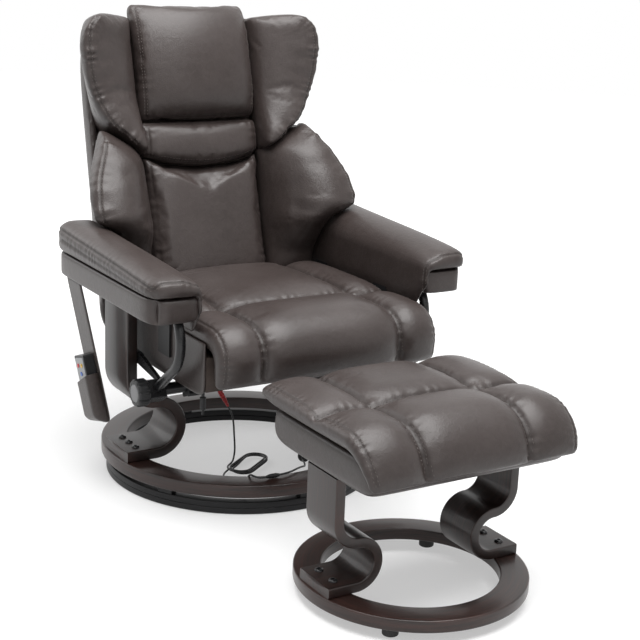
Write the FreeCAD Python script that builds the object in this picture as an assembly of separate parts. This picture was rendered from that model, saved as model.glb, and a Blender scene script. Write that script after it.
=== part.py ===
import FreeCAD, Part
import math
import os

# Massage recliner with a matching footstool.
# Millimetres, +Z up. The origin is on the floor under the chair's swivel axis.
# The chair faces -Y and +X is the sitter's left.

V = FreeCAD.Vector

# Shared clearances
overrun = 2.0
seat_gap = 0.3
pin_clearance = 0.05
slide_clearance = 0.3

# Shares of lengths
corner_share = 1 - math.sqrt(0.5)
bend_reach_share = 0.45

# Swivel base: two steel races with a glide ring between them, under a wooden ring
race_outer_r = 304.0
race_inner_r = 282.0
race_height = 13.0
race_gap = 0.6
bearing_width = 12.0
bearing_thickness = 3.0
ring_outer_r = 315.0
ring_inner_r = 258.0
ring_bottom = 40.0
ring_thickness = 28.0
ring_bevel = 3.0
spacer_count = 6
spacer_width = 34.0
spacer_depth = 18.0
spacer_first_angle = 30.0

# Chair legs: bent plywood in an S
ply = 24.0
leg_width = 120.0
leg_bend_r = 58.0
leg_bend_x = 238.0
leg_top = 488.0
leg_shoulder_drop = 50.0
leg_top_half = 24.0
leg_bolt_x = 277.0
leg_bolt_pitch = 35.0
bolt_head_r = 8.5
bolt_head_height = 4.5
bolt_bevel = 2.0

# Tilt pivot in the top of each leg
pivot_y = -25.0
pivot_z = 470.0
pivot_pin_r = 6.0
pivot_pin_inner = 277.0
pivot_pin_outer = 340.0

# Curved side tubes, which slide in the clamps as the seat tilts
tube_x = 293.0
tube_r = 10.0
glide_r = 250.0
glide_rear_angle = 11.0
glide_front_angle = 38.0
tube_run = 95.0
tube_bend_r = 75.0
tube_bend_angle = 100.0
flange_length = 72.0
flange_width = 34.0
flange_thickness = 4.0
flange_screw_r = 5.0
flange_screw_height = 3.0
flange_screw_offsets = [6.0, 28.0]

# Clamps, cross frame and knobs
clamp_angle = 34.0
clamp_length = 34.0
clamp_height = 42.0
clamp_outer_x = 312.0
clamp_inner_x = 276.0
clamp_edge_r = 4.0
bracket_thickness = 8.0
bracket_height = 26.0
bracket_foot_z = 303.0
bracket_foot_length = 44.0
bracket_rise = 18.0
bracket_bolt_r = 6.5
bracket_bolt_height = 4.0
bracket_bolt_inset = 13.0
cross_tube_r = 12.5
tray_width = 70.0
tray_x = -70.0
tray_rear_y = 44.0
tray_thickness = 4.0
tray_sink = 5.5
knob_r = 29.0
knob_depth = 26.0
knob_bevel = 3.0
knob_flutes = 10
knob_flute_r = 3.5
knob_gap = 0.5
knob_cap_r = 19.0
knob_cap_thickness = 3.0
knob_cap_proud = 1.0
stud_r = 5.0
stud_tip_gap = 0.6
collar_x = -209.0
collar_width = 30.0
collar_lobes = 5
collar_r = 20.0
collar_lobe_r = 6.0

# Control box, its red lead boot and the spare plug
box_width = 76.0
box_depth = 72.0
box_height = 44.0
box_edge_r = 6.0
boot_top = V(-72.0, 0.0, 208.0)
boot_end = V(-34.0, 0.0, 140.0)
boot_top_r = 4.0
boot_mid_r = 6.0
boot_end_r = 3.4
boot_mid_share = 0.55
spare_x = -182.0
spare_ring_width = 12.0
spare_ring_wall = 4.0
spare_stem_length = 14.0
spare_stem_r = 3.5
spare_body_length = 26.0
spare_body_r = 6.5
spare_tip_length = 12.0
spare_tip_r = 3.0

# Mains lead: route points chosen by hand, bundle worked out from its turns
cord_r = 2.1
bundle_x = 5.0
bundle_y = -28.0
bundle_turn = 36.0
bundle_run = 70.0
bundle_outer_r = 30.0
bundle_step = 3.0
bundle_half_turns = 3
bundle_low_z = 2.4
bundle_layer = 4.9
drop_points = [
    (-22.8, 0.0, 119.9),
    (-17.0, 2.4, 95.0),
    (-14.0, 5.0, 70.0),
    (-11.0, 6.5, 46.0),
    (-11.0, 5.0, 26.0),
    (-17.0, -1.5, 12.5),
    (-28.0, -15.0, 8.0),
]
lead_points = [
    (-53.6, -41.0, 2.4),
    (-71.0, -56.0, 2.2),
    (-84.0, -78.0, 2.2),
    (-91.0, -108.0, 2.2),
    (-95.0, -140.0, 2.4),
    (-97.0, -168.0, 6.0),
    (-99.0, -190.0, 18.0),
    (-101.0, -209.0, 38.0),
    (-104.0, -226.0, 62.0),
    (-107.0, -243.0, 74.5),
    (-107.0, -258.0, 75.5),
    (-97.0, -268.5, 73.4),
]
tail_points = [
    (-40.0, -268.5, 73.4),
    (-20.0, -264.0, 73.0),
    (2.0, -253.0, 72.5),
    (24.0, -234.0, 66.0),
    (46.0, -208.0, 54.0),
    (66.0, -179.0, 41.0),
    (85.0, -148.0, 30.0),
    (102.0, -118.0, 22.0),
    (115.4, -87.0, 14.2),
]
joint_length = 32.0
joint_r = 5.0
joint_end_r = 3.0
joint_start = V(-83.0, -268.5, 73.4)
adapter_r = 14.0
adapter_length = 112.0
adapter_bevel = 5.0
adapter_tip = V(124.0, -76.0, 14.2)
adapter_heading = 52.0

# Seat
seat_half = 262.0
panel_thickness = 6.0
rail_thickness = 20.0
rail_bottom = 300.0
rail_height = 60.0
rail_front = -322.0
rail_rear = 110.0
panel_bottom = 288.0
panel_top = 400.0
panel_corner_r = 34.0
deck_thickness = 10.0
cushion_half = 258.0
cushion_front_r = 52.0
cushion_rear = 126.0
cushion_side_bulge = 5.0
cushion_rear_top = 420.0
cushion_channel_y = -196.0
cushion_channel_z = 408.0
cushion_rear_crown = 446.0
cushion_front_crown = 458.0
cushion_nose_top_y = -384.0
cushion_nose_top_z = 408.0
cushion_nose_y = -404.0
cushion_nose_z = 345.0
cushion_foot_y = -356.0
cushion_foot_z = 302.0
cushion_column_share = 0.345
cushion_column_crown = 468.0
cushion_column_dip = 424.0
cushion_side_top = 418.0
seat_motor_r = 34.0
seat_motor_height = 22.0
seat_motor_x = 118.0
seat_motor_y = -110.0
arm_bracket_width = 52.0
arm_bracket_thickness = 5.0
arm_bracket_reach = 40.0
arm_bracket_drop = 112.0
arm_bracket_places = [-150.0, 100.0]
stop_r = 8.0
stop_x = 238.0

# Arms
arm_inner = 276.0
arm_width = 98.0
arm_outer = arm_inner + arm_width
arm_front = -322.0
arm_rear = 168.0
arm_bottom = 445.0
arm_box_height = 50.0
arm_outer_corner_r = 58.0
arm_inner_corner_r = 22.0
arm_rear_corner_r = 28.0
arm_slot_margin = 4.0
arm_slot_front = 62.0
arm_slot_rear = 104.0
arm_roof_wall = 2.0
pad_overhang = 4.0
pad_front_rise = 26.0
pad_front_top = 543.0
pad_front_round = 34.0
pad_rear_top = 566.0
pad_rear_round = 30.0
pad_rear_rise = 40.0
pad_side_rise = 42.0
pad_crown = 24.0
pad_side_bulge = 3.0

# Recline hinge between seat and back
hinge_y = 165.0
hinge_z = 395.0
hinge_pin_r = 6.0
hinge_eye_r = 18.0
hinge_plate = 6.0
hinge_plate_gap = 0.6
hinge_flange = 30.0
hinge_foot_low = 306.0
hinge_foot_high = 356.0
hinge_leaf_low = -62.0
hinge_leaf_high = 34.0
hinge_leaf_depth = 15.0

# Back, drawn upright about the hinge line and leaned by back_lean
back_lean = 15.0
board_front = 19.0
board_thickness = 10.0
board_half = 240.0
board_low = -80.0
board_high = 585.0
board_corner_r = 70.0
shell_half = 262.0
shell_top_half = 246.0
shell_low = -98.0
shell_high = 606.0
shell_depth = 44.0
shell_low_r = 60.0
shell_top_r = 95.0
shell_rear_bulge = 16.0
panel_half = 150.0
panel_gap = 0.6
lumbar_front = -40.0
lumbar_low = -20.0
lumbar_high = 262.0
lumbar_crown = 12.0
lumbar_smile = 28.0
band_front = -44.0
band_high = 366.0
pillow_front = -58.0
pillow_high = 636.0
pillow_crown = 20.0
pillow_top_r = 36.0
back_motor_r = 30.0
back_motor_height = 18.0
back_motor_x = 70.0
back_motor_heights = [110.0, 205.0]

# Side bolsters: a side view, a front view and a slanted inner wall
bolster_gap = 0.4
bolster_top_z = 752.0
bolster_top_y = 196.0
bolster_brow_y = 48.0
bolster_brow_z = 640.0
bolster_nose_y = -42.0
bolster_nose_z = 548.0
bolster_chin_y = -104.0
bolster_chin_z = 470.0
bolster_low = 454.0
bolster_low_y = -92.0
bolster_top_x = 236.0
bolster_shoulder_x = 288.0
bolster_shoulder_z = 706.0
bolster_side_x = 299.0
bolster_side_z = 640.0
bolster_over_arm_z = 574.0
bolster_neck_x = 262.0
bolster_neck_z = 550.0
bolster_foot_x = 256.0
bolster_rear_x = 240.0
bolster_crest_x = 222.0
bolster_crest_depth = -262.0
bolster_inner_depth = -30.0
bolster_swell = 10.0
bolster_round = 46.0

# Wings beside the headrest: a front view and a section
wing_tip = 286.0
wing_tip_x = 166.0
wing_flare_x = 262.0
wing_flare = 376.0
wing_side_x = 300.0
wing_side = 500.0
wing_shoulder_x = 286.0
wing_shoulder = 578.0
wing_top_x = 236.0
wing_high = 612.0
wing_front = -110.0
wing_inner_front = -50.0
wing_round = 24.0
wing_swell = 6.0
wing_rear_x = 250.0

# Handset pouch on the right arm, and its handset
pouch_top = V(-362.0, 92.0, 445.0)
pouch_swing = 15.8
pouch_cant = 6.4
strap_width = 74.0
strap_thickness = 5.0
strap_length = 314.0
strap_corner_r = 20.0
pocket_mouth = 214.0
pocket_depth = 78.0
pocket_wall = 3.0
pocket_inside = 27.0
handset_width = 56.0
handset_thickness = 22.0
handset_length = 128.0
handset_edge_r = 5.0
handset_gap = 1.5
face_thickness = 1.6
face_margin = 5.0
button_r = 4.5
button_proud = 1.4
button_depth = 3.0
button_pitch_x = 20.0
button_pitch_z = 18.0
button_top_drop = 22.0
button_well = 4.5

# Footstool
stool_x = -17.0
stool_y = -706.0
stool_ring_outer_r = 221.0
stool_ring_inner_r = 167.0
stool_ring_bottom = 19.0
stool_ring_thickness = 24.0
stool_foot_r = 15.0
stool_foot_angle = 45.0
stool_feet_count = 4
stool_ply = 20.0
stool_leg_width = 100.0
stool_bend_r = 43.0
stool_bend_x = 152.0
stool_bolt_x = 188.0
stool_bolt_pitch = 48.0
stool_half_x = 214.0
stool_half_y = 172.0
stool_box_bottom = 268.0
stool_box_height = 66.0
stool_box_corner_r = 34.0
stool_pad_half_x = 234.0
stool_pad_half_y = 194.0
stool_pad_corner_r = 64.0
stool_pad_side = 34.0
stool_pad_crown = 66.0
stool_pad_dip = 46.0
stool_pad_bulge = 5.0
stool_column_share = 0.34
stool_row_y = 8.0
stool_nose_foot_z = 276.0
stool_nose_foot_y = -182.0
stool_nose_y = -202.0
stool_nose_z = 318.0
stool_nose_top_y = -188.0

os.makedirs("parts", exist_ok=True)


def save(name, *solids):
    shape = solids[0] if len(solids) == 1 else Part.makeCompound(list(solids))
    shape.exportStep("parts/" + name + ".step")
    print(name, len(shape.Solids), round(shape.Volume), shape.isValid())


def mirrored(shape):
    return shape.mirror(V(0, 0, 0), V(1, 0, 0))


def box(x0, x1, y0, y1, z0, z1):
    return Part.makeBox(x1 - x0, y1 - y0, z1 - z0, V(x0, y0, z0))


def rod(radius, start, end):
    return Part.makeCylinder(radius, (end - start).Length, start, end - start)


def rod_x(radius, x0, x1, y, z):
    return rod(radius, V(x0, y, z), V(x1, y, z))


def disc(radius, height, centre):
    return Part.makeCylinder(radius, height, centre)


def ring(outer, inner, bottom, height):
    solid = disc(outer, height, V(0, 0, bottom))
    return solid.cut(disc(inner, height + 2 * overrun, V(0, 0, bottom - overrun)))


def in_x(a, b):
    return V(0, a, b)


def in_y(a, b):
    return V(a, 0, b)


def in_z(a, b):
    return V(a, b, 0)


def outline(place, start, *steps):
    """Closed wire: a step is a point for a line, or (middle, end) for an arc."""
    edges = []
    here = place(*start)
    for step in list(steps) + [start]:
        if isinstance(step[0], tuple):
            middle = place(*step[0])
            end = place(*step[1])
            edges.append(Part.Arc(here, middle, end).toShape())
        else:
            end = place(*step)
            if (end - here).Length < overrun / 1000:
                continue
            edges.append(Part.LineSegment(here, end).toShape())
        here = end
    return Part.Wire(edges)


def prism(wire, travel, shift):
    solid = Part.Face(wire).extrude(travel)
    solid.translate(shift)
    return solid


def slab_x(x0, x1, *points):
    return prism(outline(in_x, *points), V(x1 - x0, 0, 0), V(x0, 0, 0))


def slab_y(y0, y1, *points):
    return prism(outline(in_y, *points), V(0, y1 - y0, 0), V(0, y0, 0))


def slab_z(z0, z1, *points):
    return prism(outline(in_z, *points), V(0, 0, z1 - z0), V(0, 0, z0))


def rounded(a0, a1, b0, b1, r00, r10, r11, r01):
    """Rectangle outline steps with a radius at each corner, in order round it."""
    k = corner_share
    return [
        (a0 + r00, b0),
        (a1 - r10, b0),
        ((a1 - k * r10, b0 + k * r10), (a1, b0 + r10)),
        (a1, b1 - r11),
        ((a1 - k * r11, b1 - k * r11), (a1 - r11, b1)),
        (a0 + r01, b1),
        ((a0 + k * r01, b1 - k * r01), (a0, b1 - r01)),
        (a0, b0 + r00),
        ((a0 + k * r00, b0 + k * r00), (a0 + r00, b0)),
    ]


def common(first, *others):
    for other in others:
        first = first.common(other)
    return first.Solids[0]


def round_edges(solid, radius, keep):
    """Fillet the edges that keep(edge) picks."""
    edges = [edge for edge in solid.Edges if keep(edge)]
    return solid.makeFillet(radius, edges)


def bevel_edges(solid, size, keep):
    """Chamfer the edges that keep(edge) picks."""
    edges = [edge for edge in solid.Edges if keep(edge)]
    return solid.makeChamfer(size, edges)


# Bent plywood legs, chair and footstool alike

def arc_band(x, z, radius, thickness, width, first, last):
    """Part of a bent ply strip: an annulus sector in XZ, as wide as the strip in Y."""
    steps = []
    for r, start, end in ((radius + thickness / 2, first, last), (radius - thickness / 2, last, first)):
        points = []
        for angle in (start, (start + end) / 2, end):
            turn = math.radians(angle)
            points.append((x + r * math.cos(turn), z + r * math.sin(turn)))
        steps += [points[0], (points[1], points[2])]
    return slab_y(-width / 2, width / 2, *steps)


def s_leg(bend_x, bend_r, thickness, width, foot_z, reach, top):
    """Foot on the ring, half turn inwards, quarter turn back out, then straight up."""
    middle = foot_z + thickness / 2
    first_z = middle + bend_r
    second_z = first_z + 2 * bend_r
    upright = bend_x + bend_r
    half = width / 2
    foot = box(bend_x, reach, -half, half, foot_z, foot_z + thickness)
    lower = arc_band(bend_x, first_z, bend_r, thickness, width, 90, 270)
    upper = arc_band(bend_x, second_z, bend_r, thickness, width, -90, 0)
    post = box(upright - thickness / 2, upright + thickness / 2, -half, half, second_z, top)
    return foot.fuse([lower, upper, post]).removeSplitter()


def domed_bolt(x, y, z):
    head = disc(bolt_head_r, bolt_head_height, V(x, y, z))
    top = z + bolt_head_height / 2
    return bevel_edges(head, bolt_bevel, lambda edge: edge.BoundBox.ZMin > top)


# Swivel base

race_middle_r = (race_outer_r + race_inner_r) / 2
upper_race_z = race_height + race_gap
bearing_z = race_height + race_gap / 2 - bearing_thickness / 2
bearing_outer_r = race_middle_r + bearing_width / 2
bearing_inner_r = race_middle_r - bearing_width / 2
groove = ring(
    bearing_outer_r + slide_clearance, bearing_inner_r - slide_clearance,
    bearing_z, bearing_thickness + pin_clearance,
)
save("floor_race", ring(race_outer_r, race_inner_r, 0, race_height).cut(groove).Solids[0])
save("swivel_race", ring(race_outer_r, race_inner_r, upper_race_z, race_height).cut(groove).Solids[0])
save("bearing_ring", ring(bearing_outer_r, bearing_inner_r, bearing_z, bearing_thickness))

spacers = []
for index in range(spacer_count):
    block = box(
        race_middle_r - spacer_depth / 2, race_middle_r + spacer_depth / 2,
        -spacer_width / 2, spacer_width / 2, upper_race_z + race_height, ring_bottom,
    )
    block.rotate(V(0, 0, 0), V(0, 0, 1), spacer_first_angle + 360 * index / spacer_count)
    spacers.append(block)
save("ring_spacers", *spacers)

base_ring = ring(ring_outer_r, ring_inner_r, ring_bottom, ring_thickness)
base_ring = bevel_edges(base_ring, ring_bevel, lambda edge: edge.BoundBox.XLength > ring_inner_r)
save("base_ring", base_ring)

# Chair legs

leg_foot_z = ring_bottom + ring_thickness
leg_x = leg_bend_x + leg_bend_r
leg_half = leg_width / 2
leg = s_leg(leg_bend_x, leg_bend_r, ply, leg_width, leg_foot_z, ring_outer_r, leg_top)
leg = leg.common(disc(ring_outer_r - ring_bevel, leg_top, V(0, 0, 0)))
leg_shape = slab_x(
    leg_bend_x - 2 * leg_bend_r, ring_outer_r,
    (-leg_half, 0),
    (leg_half, 0),
    (leg_half, leg_top - leg_shoulder_drop),
    (pivot_y + leg_top_half, leg_top),
    (pivot_y - leg_top_half, leg_top),
    (-leg_half, leg_top - leg_shoulder_drop),
)
leg = leg.common(leg_shape)
pivot_bore = rod_x(pivot_pin_r + pin_clearance, leg_x - ply, leg_x + ply, pivot_y, pivot_z)
leg = leg.cut(pivot_bore).Solids[0]
save("left_leg", leg)
save("right_leg", mirrored(leg))

leg_bolts = []
for side in (1, -1):
    for row in (-1, 0, 1):
        leg_bolts.append(domed_bolt(side * leg_bolt_x, row * leg_bolt_pitch, leg_foot_z + ply))

tilt_pin = rod_x(pivot_pin_r, pivot_pin_inner, pivot_pin_outer, pivot_y, pivot_z)


# Side tubes on the glide arc about the tilt pivot

def glide_point(radius, angle):
    turn = math.radians(angle)
    return (pivot_y - radius * math.sin(turn), pivot_z - radius * math.cos(turn))


def bent_rod(radius, bend_y, bend_z, start, sweep):
    """Rod of the given radius swept round an X-parallel axis from a start point."""
    y, z = start
    axis = V(tube_x, bend_y, bend_z)
    circle = Part.Circle(V(tube_x, y, z), V(0, -(z - bend_z), y - bend_y), radius)
    face = Part.Face(Part.Wire([circle.toShape()]))
    return face.revolve(axis, V(1, 0, 0), sweep)


glide_sweep = glide_front_angle - glide_rear_angle
glide_start = glide_point(glide_r, glide_rear_angle)
glide_end = glide_point(glide_r, glide_front_angle)
run_rise = math.radians(glide_front_angle)
run_end = (glide_end[0] - tube_run * math.cos(run_rise), glide_end[1] + tube_run * math.sin(run_rise))
bend_y = run_end[0] + tube_bend_r * math.sin(run_rise)
bend_z = run_end[1] + tube_bend_r * math.cos(run_rise)
tube = bent_rod(tube_r, pivot_y, pivot_z, glide_start, -glide_sweep)
tube = tube.fuse([
    rod(tube_r, V(tube_x, *glide_end), V(tube_x, *run_end)),
    bent_rod(tube_r, bend_y, bend_z, run_end, -tube_bend_angle),
])
flange_y = bend_y - tube_bend_r * (1 - corner_share) + flange_length / 2 - flange_width / 2
flange = box(
    tube_x - flange_width / 2, tube_x + flange_width / 2,
    flange_y - flange_length / 2, flange_y + flange_length / 2,
    arm_bottom - flange_thickness, arm_bottom,
)
under_arm = box(0, arm_outer, arm_front - tube_run, 0, 0, arm_bottom)
tube = tube.common(under_arm).fuse(flange).removeSplitter().Solids[0]
save("side_tubes", tube, mirrored(tube))

flange_screws = []
for offset in flange_screw_offsets:
    screw = disc(
        flange_screw_r, flange_screw_height,
        V(tube_x, flange_y + offset, arm_bottom - flange_thickness - flange_screw_height),
    )
    flange_screws += [screw, mirrored(screw)]

# Clamp castings on the legs' front edges

clamp_y, clamp_z = glide_point(glide_r, clamp_angle)
clamp_block = box(
    clamp_inner_x, clamp_outer_x, -clamp_length / 2, clamp_length / 2, -clamp_height / 2, clamp_height / 2,
)
clamp_block = round_edges(clamp_block, clamp_edge_r, lambda edge: edge.BoundBox.XLength > clamp_edge_r)
clamp_block.rotate(V(0, 0, 0), V(1, 0, 0), -clamp_angle)
clamp_block.translate(V(0, clamp_y, clamp_z))
leg_inner_x = leg_x - ply / 2
foot_high = bracket_foot_z + bracket_height / 2
foot_low = bracket_foot_z - bracket_height / 2
bracket = slab_x(
    leg_inner_x - bracket_thickness, leg_inner_x,
    (clamp_y, clamp_z + bracket_rise - clamp_edge_r),
    (-leg_half, foot_low),
    (-leg_half + bracket_foot_length, foot_low),
    (-leg_half + bracket_foot_length, foot_high),
    (-leg_half, foot_high),
    (clamp_y, clamp_z + bracket_rise + clamp_edge_r),
)
clamp = clamp_block.fuse(bracket)
bore_margin = math.degrees(clamp_length / glide_r)
bore_start = glide_point(glide_r, clamp_angle - bore_margin)
clamp = clamp.cut(bent_rod(tube_r + slide_clearance, pivot_y, pivot_z, bore_start, -2 * bore_margin))
clamp = clamp.cut(rod_x(stud_r + pin_clearance, tube_x, clamp_outer_x + overrun, clamp_y, clamp_z))
clamp = clamp.removeSplitter().Solids[0]
save("tube_clamps", clamp, mirrored(clamp))

for inset in (bracket_bolt_inset, bracket_foot_length - bracket_bolt_inset):
    head = rod_x(
        bracket_bolt_r, leg_inner_x - bracket_thickness - bracket_bolt_height, leg_inner_x - bracket_thickness,
        -leg_half + inset, bracket_foot_z,
    )
    leg_bolts += [head, mirrored(head)]
save("leg_bolts", *leg_bolts)

cross = rod_x(cross_tube_r, -clamp_inner_x, clamp_inner_x, clamp_y, clamp_z)
tray_top = clamp_z - cross_tube_r + tray_sink
tray = box(
    tray_x - tray_width / 2, tray_x + tray_width / 2, clamp_y, tray_rear_y, tray_top - tray_thickness, tray_top,
)
save("cross_frame", cross.fuse(tray).removeSplitter().Solids[0])

# Tension knobs: fluted rim, pale cap, stud that bears on the tube

knob_start = clamp_outer_x + knob_gap
knob_end = knob_start + knob_depth
knob = rod_x(knob_r, knob_start, knob_end, clamp_y, clamp_z)
knob = bevel_edges(knob, knob_bevel, lambda edge: edge.BoundBox.XMin > knob_end - overrun)
for index in range(knob_flutes):
    turn = 2 * math.pi * index / knob_flutes
    flute_y = clamp_y + knob_r * math.cos(turn)
    flute_z = clamp_z + knob_r * math.sin(turn)
    knob = knob.cut(rod_x(knob_flute_r, knob_start + knob_bevel, knob_end + overrun, flute_y, flute_z))
knob_stud = rod_x(stud_r, tube_x + tube_r + stud_tip_gap, knob_start, clamp_y, clamp_z)
cap_start = knob_end + knob_cap_proud - knob_cap_thickness
knob = knob.fuse(knob_stud).cut(rod_x(knob_cap_r, cap_start, knob_end + overrun, clamp_y, clamp_z))
knob = knob.removeSplitter().Solids[0]
knob_cap = rod_x(knob_cap_r - pin_clearance, cap_start, knob_end + knob_cap_proud, clamp_y, clamp_z)
save("left_knob", knob)
save("right_knob", mirrored(knob))
save("left_knob_cap", knob_cap)
save("right_knob_cap", mirrored(knob_cap))

# Lobed collar and spare plug on the cross tube

collar = rod_x(collar_r, collar_x - collar_width / 2, collar_x + collar_width / 2, clamp_y, clamp_z)
for index in range(collar_lobes):
    turn = 2 * math.pi * index / collar_lobes
    lobe_y = clamp_y + collar_r * math.cos(turn)
    lobe_z = clamp_z + collar_r * math.sin(turn)
    collar = collar.fuse(
        rod_x(collar_lobe_r, collar_x - collar_width / 2, collar_x + collar_width / 2, lobe_y, lobe_z)
    )
tube_hole = rod_x(cross_tube_r + pin_clearance, -clamp_inner_x, clamp_inner_x, clamp_y, clamp_z)
save("lobed_collar", collar.removeSplitter().cut(tube_hole).Solids[0])

spare_ring_r = cross_tube_r + spare_ring_wall
spare_ring = rod_x(spare_ring_r, spare_x - spare_ring_width / 2, spare_x + spare_ring_width / 2, clamp_y, clamp_z)
spare_stem_z = clamp_z - spare_ring_r - spare_stem_length
spare_body_z = spare_stem_z - spare_body_length
spare = spare_ring.fuse([
    disc(spare_stem_r, clamp_z - spare_stem_z, V(spare_x, clamp_y, spare_stem_z)),
    disc(spare_body_r, spare_body_length, V(spare_x, clamp_y, spare_body_z)),
])
spare_tip = disc(spare_tip_r, spare_tip_length, V(spare_x, clamp_y, spare_body_z - spare_tip_length))
save("spare_plug", spare.fuse(spare_tip).cut(tube_hole).removeSplitter().Solids[0])

# Control box under the tray, with the red boot of the mains lead

box_top = tray_top - tray_thickness
control = box(
    tray_x - box_width / 2, tray_x + box_width / 2, -box_depth / 2, box_depth / 2, box_top - box_height, box_top,
)
control = round_edges(control, box_edge_r, lambda edge: edge.BoundBox.ZLength > box_edge_r)
boot_axis = boot_end - boot_top
boot_mid = boot_top + boot_axis * boot_mid_share
boot_root = boot_top - boot_axis * (1 - boot_mid_share)
boot = Part.makeCone(boot_top_r, boot_mid_r, boot_axis.Length * boot_mid_share, boot_top, boot_axis)
boot = boot.fuse(Part.makeCone(boot_mid_r, boot_end_r, (boot_end - boot_mid).Length, boot_mid, boot_axis))
boot_pin = rod(boot_top_r, boot_root, boot_top)
boot = boot.fuse(boot_pin).removeSplitter().cut(control).Solids
boot = max(boot, key=lambda solid: solid.Volume)
save("control_box", control.Solids[0])
save("cord_boot", boot)


# Mains lead: tubes along straight runs joined by tangent arcs

def tube_along(edges):
    """Round tube along lines and arcs, each stretch an extrusion or a revolve of the last circle."""
    start = edges[0].firstVertex().Point
    profile = Part.Circle(start, edges[0].tangentAt(edges[0].FirstParameter), cord_r).toShape()
    faces = [Part.Face(Part.Wire([profile]))]
    for edge in edges:
        ends = [edge.valueAt(edge.FirstParameter), edge.valueAt(edge.LastParameter)]
        if isinstance(edge.Curve, Part.Circle):
            centre = edge.Curve.Center
            axis = edge.Curve.Axis
            sweep = math.degrees(edge.LastParameter - edge.FirstParameter)
            faces.append(profile.revolve(centre, axis, sweep))
            profile = profile.rotated(centre, axis, sweep)
        else:
            faces.append(profile.extrude(ends[1] - ends[0]))
            profile = profile.translated(ends[1] - ends[0])
    faces.append(Part.Face(Part.Wire([profile])))
    skin = Part.makeCompound(faces)
    skin.sewShape()
    tube = Part.Solid(skin.Shells[0])
    tube.fix(pin_clearance, pin_clearance, pin_clearance)
    return tube


def cord_tube(name, points):
    """Tube along a route whose corners are arcs as large as their runs allow."""
    route = [V(*point) for point in points]
    edges = []
    radii = []
    here = route[0]
    for before, corner, after in zip(route, route[1:], route[2:]):
        back = before - corner
        ahead = after - corner
        half = back.getAngle(ahead) / 2
        reach = bend_reach_share * min(back.Length, ahead.Length)
        radius = reach * math.tan(half)
        back.normalize()
        ahead.normalize()
        start = corner + back * reach
        end = corner + ahead * reach
        inward = (back + ahead).normalize()
        middle = corner + inward * (radius / math.sin(half) - radius)
        edges.append(Part.LineSegment(here, start).toShape())
        edges.append(Part.Arc(start, middle, end).toShape())
        radii.append(round(radius))
        here = end
    edges.append(Part.LineSegment(here, route[-1]).toShape())
    print(name, "radii", radii, "length", round(sum(edge.Length for edge in edges)))
    return tube_along(edges)


def bundle_point(along, across, height):
    turn = math.radians(bundle_turn)
    return V(
        bundle_x + along * math.cos(turn) - across * math.sin(turn),
        bundle_y + along * math.sin(turn) + across * math.cos(turn),
        height,
    )


def bundle_path():
    """Loops that spiral in on the upper layer, drop at the innermost turn, and spiral out below."""
    radii = [bundle_outer_r - bundle_step * k for k in range(bundle_half_turns + 1)]
    radii += radii[-2:0:-1]
    half = bundle_run / 2
    across = bundle_outer_r
    height = bundle_low_z + bundle_layer
    side = -1
    edges = []
    for index, radius in enumerate(radii):
        start = bundle_point(side * half, across, height)
        middle = bundle_point(side * (half + radius), across + side * radius, height)
        across = across + 2 * side * radius
        end = bundle_point(side * half, across, height)
        edges.append(Part.Arc(start, middle, end).toShape())
        if index == bundle_half_turns:
            height = bundle_low_z
        far = bundle_point(-side * half, across, height)
        edges.append(Part.LineSegment(end, far).toShape())
        side = -side
    return edges


def least_self_gap(path, step, skip):
    """Least gap of a tube to itself, from points along its path further apart than skip."""
    points = path.discretize(Distance=step)
    gap = path.Length
    reach = int(skip / step)
    for index, first in enumerate(points):
        for second in points[index + reach:]:
            gap = min(gap, (second - first).Length)
    return gap - 2 * cord_r


bundle_edges = bundle_path()
bundle_wire = Part.Wire(bundle_edges)
bundle_first = bundle_wire.OrderedVertexes[0].Point
bundle_last = bundle_wire.OrderedVertexes[-1].Point
print("bundle length", round(bundle_wire.Length), "self gap",
      round(least_self_gap(bundle_wire, cord_r, bundle_outer_r), 2))
save("cord_bundle", tube_along(bundle_edges))
joint_end = joint_start + V(joint_length, 0, 0)
heading = math.radians(adapter_heading)
adapter_axis = V(math.cos(heading), math.sin(heading), 0)
save("cord_drop", cord_tube("cord_drop", [tuple(boot_end)] + drop_points + [tuple(bundle_first)]))
save("cord_lead", cord_tube("cord_lead", [tuple(bundle_last)] + lead_points + [tuple(joint_start)]))
save("cord_tail", cord_tube("cord_tail", [tuple(joint_end)] + tail_points + [tuple(adapter_tip)]))

joint_middle = joint_start + V(joint_length / 2, 0, 0)
half_joint = Part.makeCone(joint_end_r, joint_r, joint_length / 2, joint_start, V(1, 0, 0))
inline_joint = half_joint.fuse(Part.makeCone(joint_r, joint_end_r, joint_length / 2, joint_middle, V(1, 0, 0)))
save("inline_joint", inline_joint.removeSplitter().Solids[0])
adapter = Part.makeCylinder(adapter_r, adapter_length, adapter_tip, adapter_axis)
adapter = bevel_edges(adapter, adapter_bevel, lambda edge: len(edge.Vertexes) == 1)
save("power_adapter", adapter.Solids[0])

# Seat frame, side panels and deck

rail_outer = seat_half - panel_thickness
rail_inner = rail_outer - rail_thickness
rail_top = rail_bottom + rail_height
frame_outer = box(-rail_outer, rail_outer, rail_front, rail_rear, rail_bottom, rail_top)
frame_hole = box(
    -rail_inner, rail_inner, rail_front + rail_thickness, rail_rear - rail_thickness,
    rail_bottom - overrun, rail_top + overrun,
)
cross_top = clamp_z + cross_tube_r + seat_gap
stop = disc(stop_r, rail_bottom - cross_top, V(stop_x, clamp_y, cross_top))
seat_frame = frame_outer.cut(frame_hole).fuse([stop, mirrored(stop)]).removeSplitter()
save("seat_frame", seat_frame.Solids[0])
side_panel = slab_x(
    rail_outer, seat_half,
    *rounded(
        rail_front, rail_rear, panel_bottom, panel_top,
        panel_corner_r, panel_corner_r, panel_thickness, panel_thickness,
    ),
)
save("seat_side_panels", side_panel, mirrored(side_panel))
deck_top = rail_top + deck_thickness
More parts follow.
